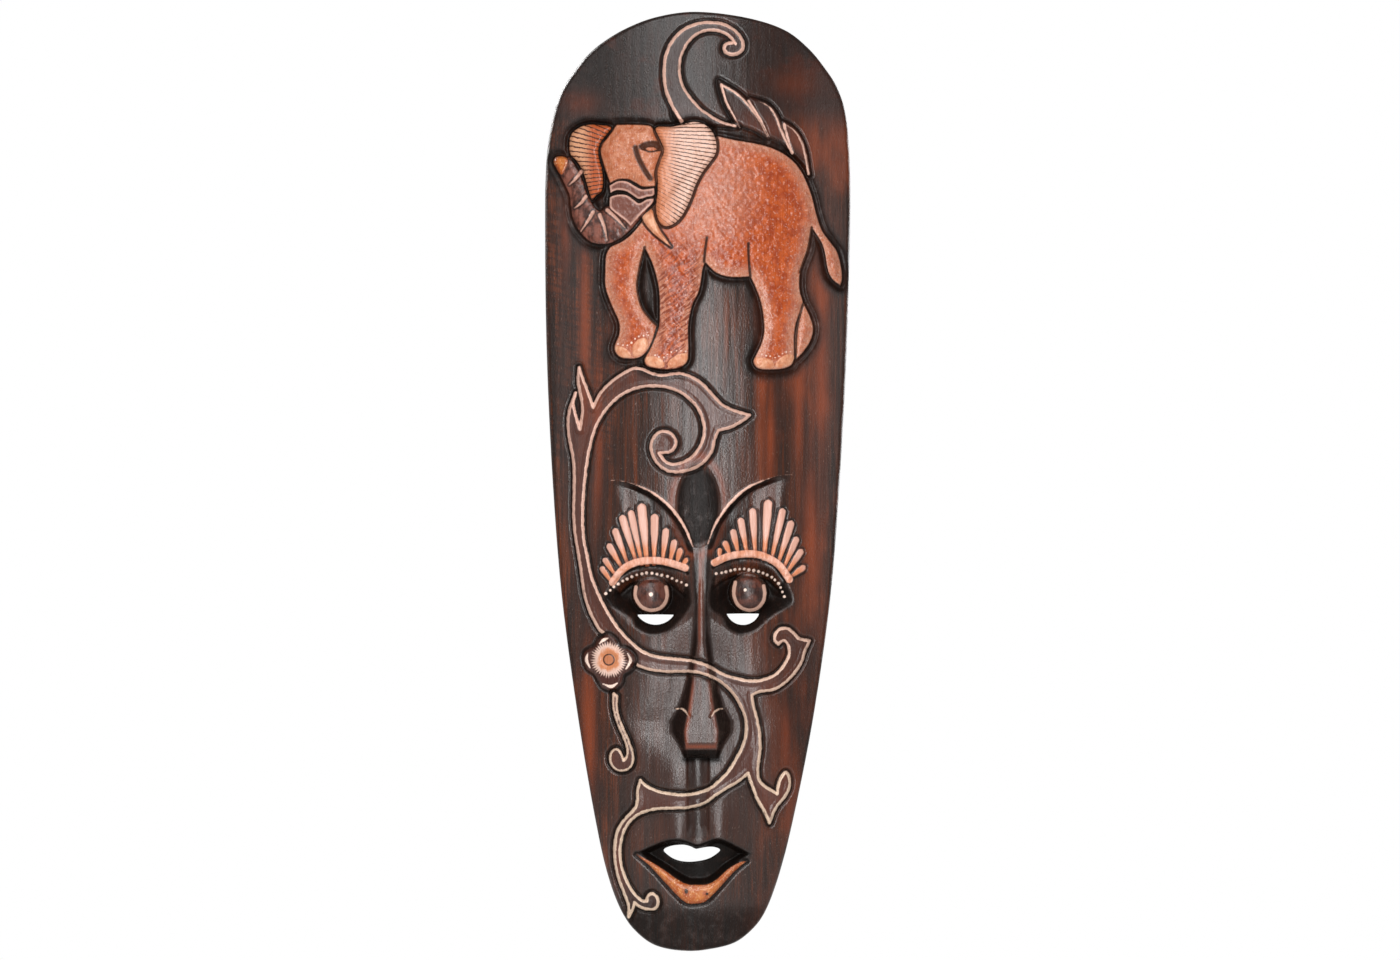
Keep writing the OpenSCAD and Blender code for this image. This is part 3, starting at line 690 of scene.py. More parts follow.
def face_height():
    """Every cut and every raised part of the face, in mm from the wall."""
    h = barrel(X, Z, CROWN, CROSS_R)
    h = h - wing_depth()
    h = eye_height(h)
    h = nose_height(h)
    h = h - OVAL_DEPTH * np.sqrt(np.clip(1.05 - brow_oval, 0, 1))
    for x, z, wide, tall, lift in SWELLINGS:
        h = h + lift * mound(x, z, wide, tall)
    channel = np.clip(1 - ((X - MIDDLE_X) / 6.2) ** 2, 0, 1) ** 0.7 * smooth(Z, 59, 68)
    h = h - CHANNEL_DEPTH * channel * (1 - smooth(Z, 103, 106))
    h = h - MOUTH_DEPTH * smooth(mouth, -0.2, 3.2)
    h = h + LIP_LIFT * smooth(lip, -0.8, 3.0)
    return h - LIP_CUT * hump(lip + 0.8, 1.0)


def relief_height(h):
    """The elephant, the vines and the lashes stand in low relief in dark grooves."""
    h = h - GROOVE_DEPTH * smooth(animal, -3.6, -1.2) * (1 - smooth(animal, -1.0, 0.4))
    for field, lift, round_w in ((body, 1.7, 5.0), (trunk, 1.5, 3.5), (head, 2.3, 5.0)):
        h = h + lift * smooth(field, -0.4, round_w)
    for field in (ear_left, ear_right):
        h = h + EAR_LIFT * smooth(field, -0.4, 2.2)
    for field, lift in ((jaw, 0.7), (tusk, 2.0), (trunk_tip, 1.8)):
        h = h + lift * smooth(field, -0.4, 1.4)
    h = h - EAR_CUT * hump(ears + 0.9, 0.8)
    h = h + NAIL_LIFT * smooth(nails, -0.1, 0.6)
    for fold in TRUNK_FOLDS:
        h = h - FOLD_CUT * hump(near(spline(fold)), 0.8)
    h = h - body_grooves()
    return h + plant_height()


def body_grooves():
    """Cuts between the legs, the rump and the tail, and the folds beside the eye."""
    cuts = 0
    for lines, depth, width in ((LEG_LINES, 0.9, 1.0), (FACE_LINES + EYE_LINES, 0.8, 0.8)):
        for line in lines:
            cuts = cuts + depth * hump(near(spline(line)), width)
    return cuts


LEG_LINES = [
    [5, 379, 4, 372, 3.5, 366], [27, 376, 27, 370, 27.5, 363, 28, 358.5],
    BODY[6], BODY[2][:8], [56, 344, 53.5, 335, 52.3, 327, 52, 317]]
FACE_LINES = [
    [-33, 427, -32, 423, -30, 418.5, -27.5, 414, -25, 410.5],
    [-30, 427.5, -26, 429, -21, 428.8, -18.5, 426]]
EYE_LINES = [
    [-29, 426.3, -26.5, 427.8, -23, 427.6, -20.2, 425.8],
    [-29, 426.3, -26, 424.8, -23, 424.9, -20.2, 425.8]]


def plant_height():
    """Bands with a raised edge and a cut just outside them."""
    lift = np.zeros(X.shape)
    for field in (vine, scroll, tendril, flame):
        lift = lift + PLANT_LIFT * smooth(field, -0.6, 0.9)
        lift = lift - PLANT_CUT * hump(field + 1.7, 0.8)
    lift = lift - 0.45 * smooth(vine, 1.6, 3.2)
    lift = lift + FLOWER_LIFT * smooth(flower, -0.3, 1.2) - FLOWER_CUT * hump(flower + 1.3, 0.9)
    lift = lift + 0.8 * smooth(flower_r, 9.5, 6.0)
    lift = lift - 0.9 * hump(flower_r - 3.4, 0.7)
    lift = lift + LASH_LIFT * smooth(lash, -0.4, 0.7)
    lift = lift - LASH_CUT * hump(lash + 0.9, 0.5)
    return lift + LINE_LIFT * smooth(pale, -0.5, 0.6) + DOT_LIFT * smooth(lid_dots, -0.3, 0.3)


def tool_marks():
    """Long shallow gouge cuts down the ground, finer ones on the animal."""
    cut = 0.09 * noise(X, Z, 5.0, 40.0, 3) + 0.05 * noise(X, Z, 2.2, 20.0, 4)
    fine = 0.10 * noise(X + 0.5 * Z, Z, 1.8, 6.0, 6)
    wave = 0.5 * noise(X, Z, 34.0, 60.0, 8)
    on_leg = smooth(X, -24, -20) * smooth(X, 4, 0) * smooth(Z, 318, 326) * smooth(Z, 392, 378)
    scratch = 0.35 * noise(X * 0.7 - Z * 0.7, X * 0.7 + Z * 0.7, 7.0, 1.3, 9) * on_leg
    skin = 0.22 * noise(X, Z, 1.3, 1.3, 17) + 0.12 * noise(X, Z, 0.9, 0.9, 18)
    return cut + wave + np.where(animal > 0, fine + skin + scratch, 0.0)


front = relief_height(face_height()) + tool_marks()
front = np.maximum(front, THINNEST)

# ---------------------------------------------------------------- the hollow back

strap_low, strap_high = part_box("hanger_strap")
PAD_Y = -strap_low.y / MM
PAD_HALF = 9.0
PAD_BELOW, PAD_ABOVE = 4.0, 1.3  # how far the pad runs on past the strap
PAD_LOW = (strap_low.z - CHIN_Z) / MM - PAD_BELOW
PAD_HIGH = (strap_high.z - CHIN_Z) / MM + PAD_ABOVE
SCOOP = 0.55  # depth of the gouge's scoops
SCOOP_W = 7.5
WALL_SLOPE = 3.2  # of the hollow's sides

back_xs = np.arange(-82.75, 83.0, BACK_GRID)
back_zs = np.arange(0.0, ART_LEN + 0.1, BACK_GRID)


def sample(field, x, z, x_axis=xs, z_axis=zs):
    """The field's value between its points."""
    u = np.clip((x - x_axis[0]) / (x_axis[1] - x_axis[0]), 0, len(x_axis) - 1.001)
    v = np.clip((z - z_axis[0]) / (z_axis[1] - z_axis[0]), 0, len(z_axis) - 1.001)
    i = u.astype(int)
    j = v.astype(int)
    fu = u - i
    fv = v - j
    low_row = field[j, i] * (1 - fu) + field[j, i + 1] * fu
    high_row = field[j + 1, i] * (1 - fu) + field[j + 1, i + 1] * fu
    return low_row * (1 - fv) + high_row * fv


def hollow_depth(x, z):
    """Depth of the gouged hollow behind the face, in mm from the wall."""
    rim = sample(board, x, z)
    depth = barrel(x, z, HOLLOW, HOLLOW_R)
    scoop = SCOOP * np.abs(np.sin(x / SCOOP_W * math.pi / 2 + 0.6 * noise(x, z, 20, 30, 11)))
    scoop = scoop * (0.6 + 0.4 * noise(x, z, 9, 28, 12)) + 0.35 * noise(x, z, 6, 17, 13)
    wall = (rim - RIM_W + 0.8 * noise(x, z, 14, 14, 15)) * WALL_SLOPE
    depth = np.minimum(depth - 0.6 + scoop, wall + 0.3 * noise(x, z, 4, 4, 14))
    in_pad = (np.abs(x) < PAD_HALF) & (z > PAD_LOW) & (z < PAD_HIGH)
    depth = np.where(in_pad, np.minimum(depth, PAD_Y), depth)
    return np.maximum(depth, 0.0)


# ---------------------------------------------------------------- one closed surface


def face_scorch_and_shade():
    """Painted shade with scorched wood on the face: how dark its hollows, bowls and flanks are,
    the floor under the nose, and the chin, darker towards the bottom.
    """
    wing = np.zeros(X.shape)
    eyeball_r = -spots_within(EYES, 0.0)
    for held, from_edge, from_brow, taper in wings:
        fade = smooth(from_edge, 0, 9.0) * taper
        # a dark band just below each brow line: painted shadow of the brow
        step = smooth(from_brow, 4.6, 2.6) * taper**0.4
        wing = np.maximum(wing, np.where(held, np.maximum(0.5 * fade, 0.95 * step), 0))
    # painted shade on the nose's flanks
    flank = smooth(nose_side, nose_top - 0.3, nose_top + 1.2)
    flank = flank * smooth(nose_side, nose_foot + 2.5, nose_foot - 2.5)
    flank = flank * smooth(Z, 224, 210) * smooth(Z, 103, 108)
    # painted shadow under the nose
    under = smooth(nose_side, 13.5, 8.5) * smooth(Z, 98, 103) * smooth(Z, 110.0, 107.5)
    channel = smooth(np.abs(X - MIDDLE_X), 6.5, 3.5) * smooth(Z, 58, 63) * smooth(Z, 106, 100)
    return union(
        wing, 0.95 * smooth(np.sqrt(brow_oval), 1.12, 0.86), 0.85 * flank, under, 0.45 * channel,
        0.96 * smooth(socket, -2.6, 0.8) * smooth(eyeball_r, 9.0, 10.2),
        0.4 * smooth(socket, 0, 1),
        0.95 * smooth(crease, 2.0, 0.6),
        smooth(mouth, -1.6, 0.4), smooth(union(mouth_hole, slit), -2.2, -0.3),
        0.85 * smooth(Z, 46, 16),
        0.5 * smooth(X, 36, 50) * smooth(Z, 190, 160) * smooth(Z, 60, 100))


GROOVES = (  # field, how dark, how far outside its edge, where the dark ends and where it is full: dark cuts beside the raised parts, scorched wood with painted shade
    (vine, 0.9, 1.4, 1.7, 0.4), (union(scroll, flame, tendril), 0.9, 1.4, 1.6, 0.5),
    (flower, 0.9, 1.4, 1.9, 0.5), (lash, 0.8, 1, 1.2, 0.2), (lip, 0.9, 1.1, 1.4, 0.4),
    (ears, 0.95, 0.8, 1.4, 0.5), (union(jaw, tusk), 0.9, 0.7, 1.1, 0.4))


def scorch_and_shade_map():
    """How dark the scorched and shaded grooves, bowls and hollows are, from 0 to 1: scorched wood
    and painted shade in one map.
    """
    # dark lines between the legs, and painted shade in the creases beside the elephant's eye
    lines = near_lines(LEG_LINES, 0.9) + near_lines(FACE_LINES, 2.0) + near_lines(EYE_LINES, 0.6)
    around = 0.85 * smooth(animal, -9.0, -3.0) * smooth(animal, 0.9, -0.2)
    halo = 0.45 * smooth(vine, -7.0, -1.6) * smooth(vine, 0.4, -0.4)
    dark = union(face_scorch_and_shade(), around, halo, 0.62 * smooth(Z, 432, 452), np.minimum(lines, 1))
    for field, most, out, end, full in GROOVES:
        dark = np.maximum(dark, most * smooth(np.abs(field + out), end, full))
    lid = union(*[area(np.vstack([spline(top), spline(low)[::-1]]))
                  for top, low in zip(CREASES, LIDS)])
    return dark * (1 - 0.7 * smooth(lid, 0.2, 1.6))


def near_lines(lines, width):
    """1 on any of the lines and fading to 0 over the width."""
    return union(*[hump(near(spline(line), reach=NEARBY), width) for line in lines])


def glow():
    """Where red wood shows through the stain: worn edges and a few long streaks."""
    rim = hump(np.sqrt(brow_oval) - 1.22, 0.12) * 0.8
    nose = hump(nose_side - nose_top + 0.4, 1.1) * smooth(Z, 106, 109) * smooth(Z, 160, 130)
    nose = nose * np.where(X < NOSE_X, 1.0, 0.5)
    tip = hump(Z - 109.8, 1.3) * smooth(nose_side, 9, 7)
    ridge = smooth(np.abs(X - 1.2), 1.5, 0.3) * smooth(Z, 155, 175) * smooth(Z, 218, 208) * 0.65
    return union(rim, nose, tip, ridge, *[mound(*streak) for streak in RED_STREAKS])


RED_STREAKS = [  # across, up, half width, half height
    (38.5, 275, 2.2, 26), (53.5, 285, 2.6, 40), (-53, 270, 2.4, 34), (-44, 348, 3, 26),
    (66, 318, 3, 60), (-58, 120, 4, 40), (47, 112, 2.4, 18), (-62, 452, 9, 6), (52, 462, 12, 7),
    (34, 315, 3, 40), (-60, 330, 2.5, 50), (60, 225, 4, 40), (-70, 400, 2.5, 30)]

knots = np.minimum(np.hypot(X + 6, (Z - 32.5) * 0.7) - 1.0, np.hypot(X - 5, Z - 31) - 0.8)

PAINT = {
    "pale": pale,
    "vine": union(vine, scroll, tendril, flame),
    "lash": lash,
    "lash_tone": lash_tone,
    "arch": arch,
    "eyeball": spots_within(EYES, EYE_R),
    "eye_ring": ring,
    "hide": body,
    "ears": ears,
    "left_ear": ear_left,
    "head": head,
    "jaw": jaw,
    "trunk": trunk,
    # pale chevrons on the trunk, painted as highlights of its folds
    "folds": union(*[brushed(spline(f), 1.9, 1.3, 0.4) for f in TRUNK_FOLDS]),
    "tan": union(tusk, nails),
    "orange": union(trunk_tip, np.minimum(lip, knots)),
    "dots": union(lid_dots, nail_dots, petal_lines(), pupils),
    "flower": flower,
    "flower_r": flower_r,
    "board": board,
    # how dark each point is painted: scorched wood and painted shade together
    "scorch_and_shade": scorch_and_shade_map(),
    "glow": glow(),
    "raw": np.zeros(X.shape),
}
NAMES = list(PAINT)
SHADES = ("lash_tone", "scorch_and_shade", "glow", "raw")
OUTSIDE = {name: 60.0 if name == "flower_r" else 0.0 if name in SHADES else -FAR
           for name in NAMES}


class Shell:
    """Gathers the points, the paint distances and the faces of one closed surface."""

    def __init__(self):
        self.points = []
        self.paint = []
        self.faces = []
        self.count = 0

    def add(self, x, z, depth, painted, raw=0.0):
        """Points at these places and depths; returns their numbers. Raw wood has no stain."""
        y = -np.asarray(depth, float)
        spots = np.column_stack([x * SCALE, y, z * SCALE + CHIN_Z / MM]) * MM
        if painted:
            values = np.column_stack([sample(PAINT[n], x, z) for n in NAMES])
        else:
            values = np.tile([OUTSIDE[n] for n in NAMES], (len(x), 1))
            values[:, NAMES.index("raw")] = raw
        self.points.append(spots)
        self.paint.append(values)
        first = self.count
        self.count += len(x)
        return np.arange(first, self.count)

    def spot(self, numbers):
        """Plan positions of the points with these numbers."""
        everything = np.vstack(self.points)
        return everything[numbers][:, [0, 2]]

    def ring(self, curve, depth, painted, raw=0.0):
        """A loop of points along the curve; returns their numbers."""
        return self.add(curve[:, 0], curve[:, 1], depth, painted, raw)

    def tube(self, rings):
        """Quads from ring to ring; returns the first and last rings."""
        for a, b in zip(rings[:-1], rings[1:]):
            self.faces += list(zip(a, np.roll(a, -1), np.roll(b, -1), b))
        return rings[0], rings[-1]

    def zip(self, a, b):
        """Triangles between two loops that run the same way round."""
        pa, pb = self.spot(a), self.spot(b)
        start = int(np.argmin(np.hypot(*(pb - pa[0]).T)))
        b = np.roll(b, -start)
        pb = np.roll(pb, -start, axis=0)
        i = j = 0
        na, nb = len(a), len(b)
        while i < na or j < nb:
            step_a = np.hypot(*(pa[(i + 1) % na] - pb[j % nb])) if i < na else math.inf
            step_b = np.hypot(*(pa[i % na] - pb[(j + 1) % nb])) if j < nb else math.inf
            if step_a <= step_b:
                self.faces.append((a[i % na], a[(i + 1) % na], b[j % nb]))
                i += 1
            else:
                self.faces.append((a[i % na], b[(j + 1) % nb], b[j % nb]))
                j += 1


def without_corners(keep):
    """Drops cells that touch only at a corner, so that every edge loop is simple."""
    while True:
        a, b, c, d = keep[:-1, :-1], keep[:-1, 1:], keep[1:, :-1], keep[1:, 1:]
        bad = (a & d & ~b & ~c) | (b & c & ~a & ~d)
        if not bad.any():
            return keep
        keep = keep.copy()
        for j, i in zip(*np.nonzero(bad)):
            keep[j: j + 2, i: i + 2] = False


def add_patch(shell, x_axis, z_axis, keep, depth, painted):
    """A lattice of quads over the kept cells; returns the loops round its edges."""
    keep = without_corners(keep)
    used = np.zeros((len(z_axis), len(x_axis)), bool)
    for dj in (0, 1):
        for di in (0, 1):
            used[dj: dj + keep.shape[0], di: di + keep.shape[1]] |= keep
    j, i = np.nonzero(used)
    number = np.full(used.shape, -1)
    bare = smooth(depth[j, i], 0.4, 2.5)
    number[j, i] = shell.add(x_axis[i], z_axis[j], depth[j, i], painted, bare)
    a, b = number[:-1, :-1], number[:-1, 1:]
    c, d = number[1:, 1:], number[1:, :-1]
    quads = np.column_stack([f[keep] for f in (a, b, c, d)])
    shell.faces += quads.tolist()
    pad = np.pad(keep, 1)
    after = {}
    sides = (
        (a, b, pad[:-2, 1:-1]), (b, c, pad[1:-1, 2:]),
        (c, d, pad[2:, 1:-1]), (d, a, pad[1:-1, :-2]))
    for begin, end, beyond in sides:
        edge = keep & ~beyond
        after.update(zip(begin[edge].tolist(), end[edge].tolist()))
    return trace(after)


def trace(after):
    """Closed loops from a table of each point's next point."""
    loops = []
    while after:
        first, here = after.popitem()
        loop = [first]
        while here != first:
            loop.append(here)
            here = after.pop(here)
        loops.append(np.array(loop))
    return loops


def turn_of(spots):
    """Twice the area of a loop: positive when it runs anticlockwise."""
    nxt = np.roll(spots, -1, axis=0)
    return float(np.sum(spots[:, 0] * nxt[:, 1] - nxt[:, 0] * spots[:, 1]))


def moved_out(curve, by):
    """The closed curve with each point moved outwards along its own normal."""
    ahead = np.roll(curve, -1, axis=0) - np.roll(curve, 1, axis=0)
    normal = np.column_stack([ahead[:, 1], -ahead[:, 0]])
    normal /= np.maximum(np.hypot(*normal.T), 1e-9)[:, None]
    side = 1 if turn_of(curve) > 0 else -1
    return curve + normal * by * side


def rounder(curve, passes):
    """The closed curve with its corners eased."""
    for _ in range(passes):
        curve = (np.roll(curve, 1, axis=0) + 2 * curve + np.roll(curve, -1, axis=0)) / 4
    return curve


def join_patch(shell, loops, edges):
    """Stitches each loop of a patch to the nearest of the rings that end there."""
    edges = list(edges)
    if len(loops) != len(edges):
        raise ValueError(f"{len(loops)} loops for {len(edges)} edges")
    for loop in sorted(loops, key=lambda n: -abs(turn_of(shell.spot(n)))):
        spots = shell.spot(loop)
        middle = spots.mean(axis=0)
        size = abs(turn_of(spots))

        def miss(e):
            s = shell.spot(e)
            gap = np.hypot(*(s.mean(axis=0) - middle)) / (10 * MM)
            return gap + abs(math.log(abs(turn_of(s)) / size))

        best = min(edges, key=miss)
        edges = [e for e in edges if e is not best]
        if turn_of(shell.spot(best)) * turn_of(spots) < 0:
            best = best[::-1]
        shell.zip(loop, best)


HOLES = [even(mouth_hole_curve, 0.6, closed=True), *slit_curves]
HOLE_GROWTH = [3.5, 2.5, 2.5]
EASING = 30  # passes that ease a hole's corners at the back
HOLE_EASE = 0.7  # width of the eased edge of a hole at the back
FRONT_INSET, BACK_INSET = 2.45, 2.9  # where the lattices stop short of the board's edge
FRONT_GAP, BACK_GAP = 1.25, 0.9  # and short of a hole's edge


def add_rim(shell):
    """The board's edge, from the face round to the wall; returns its first and last rings."""
    curve = board_curve
    if turn_of(curve) < 0:
        curve = curve[::-1]
    rings = []
    for inset, drop in ((2.0, 0), (1.25, 0.22), (0.55, 0.9), (0.12, 1.7), (0, 2.6)):
        c = moved_out(curve, -inset)
        worn = 0.25 * noise(c[:, 0] + c[:, 1], c[:, 1], 9, 9, 21)
        top = sample(front, *c.T) - drop * (1 + worn)
        rings.append(shell.ring(c, top, inset > 0.3))
    x, z = curve.T
    for part in (0.8, 0.55, 0.3):
        wavy = 0.15 * noise(x * 0.3 + z, z, 12, 12, 22 + int(part * 9))
        rings.append(shell.ring(curve, top * part + wavy, False))
    for inset, y in ((0, 1.6), (0.3, 0.6), (1.0, 0.1), (1.8, 0.0)):
        rings.append(shell.ring(moved_out(curve, -inset), np.full(len(curve), y), False))
    return shell.tube(rings)


def add_hole(shell, curve, growth):
    """Walls of a hole that opens out towards the back; returns its first and last rings."""
    rings = []
    for out, drop in ((0.9, 0.0), (0.45, 0.12), (0.1, 0.5), (0.0, 1.1)):
        c = moved_out(curve, out)
        top = sample(front, *c.T) - drop
        rings.append(shell.ring(c, top, True))
    wide = widened(curve, growth)
    back = hollow_depth(*wide.T)
    for part in (0.25, 0.5, 0.75, 0.93):
        c = curve + (wide - curve) * part**1.3
        rings.append(shell.ring(c, top + (back - top) * part, False, part**2))
    for out, lift in ((0.0, 0.4), (HOLE_EASE, 0.0)):
        c = moved_out(wide, out)
        rings.append(shell.ring(c, hollow_depth(*c.T) + lift, False, 1.0))
    return shell.tube(rings)


def widened(curve, growth):
    """Outline that a hole reaches at the back, with its corners eased."""
    return rounder(moved_out(curve, growth), EASING)


def corners_of(test):
    """A cell is kept when all four of its corners pass."""
    return test[:-1, :-1] & test[:-1, 1:] & test[1:, :-1] & test[1:, 1:]


def carve():
    """The whole carving as one shell."""
    shell = Shell()
    rim_front, rim_back = add_rim(shell)
    walls = [add_hole(shell, c, g) for c, g in zip(HOLES, HOLE_GROWTH)]
    open_front = union(*[area(c) for c in HOLES])
    keep = corners_of((board > FRONT_INSET) & (open_front < -FRONT_GAP))
    loops = add_patch(shell, xs, zs, keep, front, True)
    join_patch(shell, loops, [rim_front, *[w[0] for w in walls]])
    bx, bz = np.meshgrid(back_xs, back_zs)
    covered = sample(board, bx, bz) > BACK_INSET
    for c, g in zip(HOLES, HOLE_GROWTH):
        edge = sample(area(moved_out(widened(c, g), HOLE_EASE)), bx, bz)
        covered &= edge < -BACK_GAP
    depth = hollow_depth(bx, bz)
    loops = add_patch(shell, back_xs, back_zs, corners_of(covered), depth, False)
    join_patch(shell, loops, [rim_back, *[w[1] for w in walls]])
    return shell


def build_mask():
    """Turns the shell into the piece that stands for the mask's body."""
    shell = carve()
    points = np.vstack(shell.points)
    mesh = bpy.data.meshes.new("carved_mask")
    mesh.from_pydata(points.tolist(), [], [tuple(map(int, f)) for f in shell.faces])
    mesh.update()
    bm = bmesh.new()
    bm.from_mesh(mesh)
    bmesh.ops.recalc_face_normals(bm, faces=bm.faces)
    loose = [e for e in bm.edges if len(e.link_faces) != 2]
    bm.to_mesh(mesh)
    bm.free()
    if loose:
        raise ValueError(f"{len(loose)} open edges in the mask")
    paint = np.vstack(shell.paint)
    for n, name in enumerate(NAMES):
        layer = mesh.attributes.new(name, "FLOAT", "POINT")
        layer.data.foreach_set("value", paint[:, n].astype(np.float32))
    mesh.polygons.foreach_set("use_smooth", [True] * len(mesh.polygons))
    mask = bpy.data.objects.new("carved_mask", mesh)
    bpy.context.scene.collection.objects.link(mask)
    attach(mask, "mask")
    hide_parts("mask_body")
    return mask


# ---------------------------------------------------------------- materials


def srgb(red, green, blue):
    """Linear colour from the usual 0 to 255 values."""
    def line(c):
        c = c / 255
        return c / 12.92 if c <= 0.04045 else ((c + 0.055) / 1.055) ** 2.4
    return (line(red), line(green), line(blue), 1.0)


class Net:
    """Short ways to add and wire a material's nodes."""

    def __init__(self, name):
        self.material = bpy.data.materials.new(name)
        self.material.use_nodes = True
        self.tree = self.material.node_tree
        self.tree.nodes.clear()
        self.out = self.tree.nodes.new("ShaderNodeOutputMaterial")
        self.shader = self.tree.nodes.new("ShaderNodeBsdfPrincipled")
        self.tree.links.new(self.shader.outputs[0], self.out.inputs["Surface"])
        self.coords = self.tree.nodes.new("ShaderNodeTexCoord").outputs["Object"]

    def put(self, socket, value):
        """Wires an output in, or sets a plain value."""
        if isinstance(value, bpy.types.NodeSocket):
            self.tree.links.new(value, socket)
        else:
            socket.default_value = value

    def set(self, name, value):
        self.put(self.shader.inputs[name], value)

    def node(self, kind, inputs, **settings):
        """A new node with these settings and inputs."""
        made = self.tree.nodes.new("ShaderNode" + kind)
        for name, value in settings.items():
            setattr(made, name, value)
        for name, value in inputs.items():
            self.put(made.inputs[name], value)
        return made

    def math(self, kind, a, b=0.0, c=0.5):
        return self.node("Math", {0: a, 1: b, 2: c}, operation=kind).outputs[0]

    def times(self, a, b):
        return self.math("MULTIPLY", a, b)

    def plus(self, a, b):
        return self.math("ADD", a, b)

    def minus(self, a, b):
        return self.math("SUBTRACT", a, b)

    def mix(self, amount, a, b):
        """Colour a where amount is 0 and colour b where it is 1."""
        n = self.node("Mix", {"Factor": amount, "A": a, "B": b}, data_type="RGBA")
        return n.outputs["Result"]

    def ramp(self, value, low, high, to_low=0.0, to_high=1.0):
        """Eased step of a value from low to high."""
        ends = {"From Min": low, "From Max": high, "To Min": to_low, "To Max": to_high}
        n = self.node("MapRange", {"Value": value, **ends}, interpolation_type="SMOOTHSTEP")
        return n.outputs["Result"]

    def blend(self, pattern, low, high, a, b):
        """Two colours that meet where the pattern runs from low to high."""
        return self.mix(self.ramp(pattern, low, high), srgb(*a), srgb(*b))

    def over(self, tone, pattern, low, high, most, colour):
        """A colour laid over the tone where the pattern rises from low to high."""
        return self.mix(self.ramp(pattern, low, high, 0.0, most), tone, srgb(*colour))

    def part(self, amount, most, tone, colour):
        """Some of a colour laid over the tone."""
        return self.mix(self.times(amount, most), tone, srgb(*colour))

    def scaled(self, across, deep, up, turn=0.0):
        """Coordinates in millimetres divided by these sizes."""
        sizes = (across * MM, deep * MM, up * MM)
        inputs = {"Vector": self.coords, "Rotation": (0.0, turn, 0.0), "Scale": sizes}
        return self.node("Mapping", inputs, vector_type="TEXTURE").outputs[0]

    def noise(self, across, deep, up, detail=3.0, rough=0.55, turn=0.0, warp=0.0):
        """Noise from 0 to 1 with blobs of about these sizes in millimetres."""
        inputs = {"Vector": self.scaled(across, deep, up, turn), "Scale": 1.0,
                  "Detail": detail, "Roughness": rough, "Distortion": warp}
        return self.node("TexNoise", inputs).outputs["Fac"]

    def paint(self, name):
        """The stored distance from a painted part's edge, in mm."""
        return self.node("Attribute", {}, attribute_name=name).outputs["Fac"]

    def axis(self, which):
        """One of the object's own coordinates, in metres."""
        return self.node("SeparateXYZ", {0: self.coords}).outputs[which]

    def from_spot(self, across, up):
        """Across and up from a spot given in mm on the carving."""
        x = self.minus(self.axis("X"), across * MM)
        return x, self.minus(self.axis("Z"), CHIN_Z + up * MM)

    def square(self, value, scale):
        return self.math("POWER", self.times(value, scale), 2.0)

    def bump(self, height, strength, distance_mm, under=None):
        inputs = {"Strength": strength, "Distance": distance_mm * MM, "Height": height}
        if under is not None:
            inputs["Normal"] = under
        return self.node("Bump", inputs).outputs["Normal"]


class Wood(Net):
    """The carving's painted, burnt and varnished surface."""

    def __init__(self):
        super().__init__("carved_wood")
        wobble = self.noise(2.2, 2.2, 3.0, 2.0)
        self.wobble = self.math("MULTIPLY_ADD", wobble, 1.0, -0.5)
        self.streak = self.noise(3.2, 9.0, 90.0, 4.0, 0.6, warp=0.3)
        self.fine = self.noise(0.8, 3.0, 26.0, 3.0, 0.6)
        self.patch = self.noise(22.0, 22.0, 60.0, 3.0, 0.5)
        self.speck = self.noise(0.9, 0.9, 1.1, 2.0, 0.6)
        self.daub = self.noise(4.0, 4.0, 5.0, 3.0, 0.6)

    def within(self, name, at=0.0, soft=0.25, wobble=0.5):
        """1 inside a painted part, with a brushed edge."""
        edge = self.math("MULTIPLY_ADD", self.wobble, wobble, self.paint(name))
        return self.ramp(edge, at - soft, at + soft)


def ground_colour(w):
    """Dark brown wood with red and black streaks along the grain."""
    tone = w.blend(w.streak, 0.34, 0.68, (35, 18, 9), (100, 48, 24))
    tone = w.over(tone, w.fine, 0.48, 0.64, 0.7, (34, 16, 9))
    tone = w.over(tone, w.fine, 0.44, 0.3, 0.4, (132, 66, 34))
    side = w.ramp(w.axis("X"), 0.015, 0.06)
    red = w.times(side, w.ramp(w.patch, 0.4, 0.62))
    tone = w.part(red, 0.7, tone, (116, 50, 20))
    tone = w.over(tone, w.patch, 0.62, 0.42, 0.55, (36, 20, 14))
    up = w.minus(w.axis("Z"), CHIN_Z + 0.12)
    crown = w.ramp(up, 0.31, 0.335, 0.0, 0.7)
    tone = w.mix(crown, tone, w.blend(w.daub, 0.3, 0.7, (30, 23, 21), (58, 46, 43)))
    rust = w.times(crown, w.ramp(w.noise(16.0, 16.0, 12.0, 3.0), 0.55, 0.66))
    tone = w.mix(rust, tone, srgb(92, 42, 26))
    # greyer, duller tone over the middle of the face: partly the wood's own tone, partly a painted
    # grey sheen
    face = w.ramp(w.plus(w.square(w.axis("X"), 22.0), w.square(up, 13.0)), 1.3, 0.4, 0.0, 0.65)
    tone = w.mix(face, tone, w.mix(w.fine, srgb(38, 24, 20), srgb(68, 46, 40)))
    far = w.times(w.ramp(w.axis("X"), -0.036, -0.052), w.ramp(up, 0.1, 0.15))
    scratch = w.times(far, w.ramp(w.noise(9.0, 9.0, 1.8, 3.0, turn=0.3), 0.46, 0.56))
    tone = w.part(scratch, 0.6, tone, (30, 16, 12))
    # pale specks: painted glints of the varnish scattered over the ground
    return w.over(tone, w.speck, 0.66, 0.76, 0.35, (176, 150, 138))


def scorch_and_shade_amount(w):
    """How dark the scorched grooves and recesses are, with the painted shade in them."""
    return w.times(w.paint("scorch_and_shade"), w.ramp(w.daub, 0.2, 0.55, 0.8, 1.0))


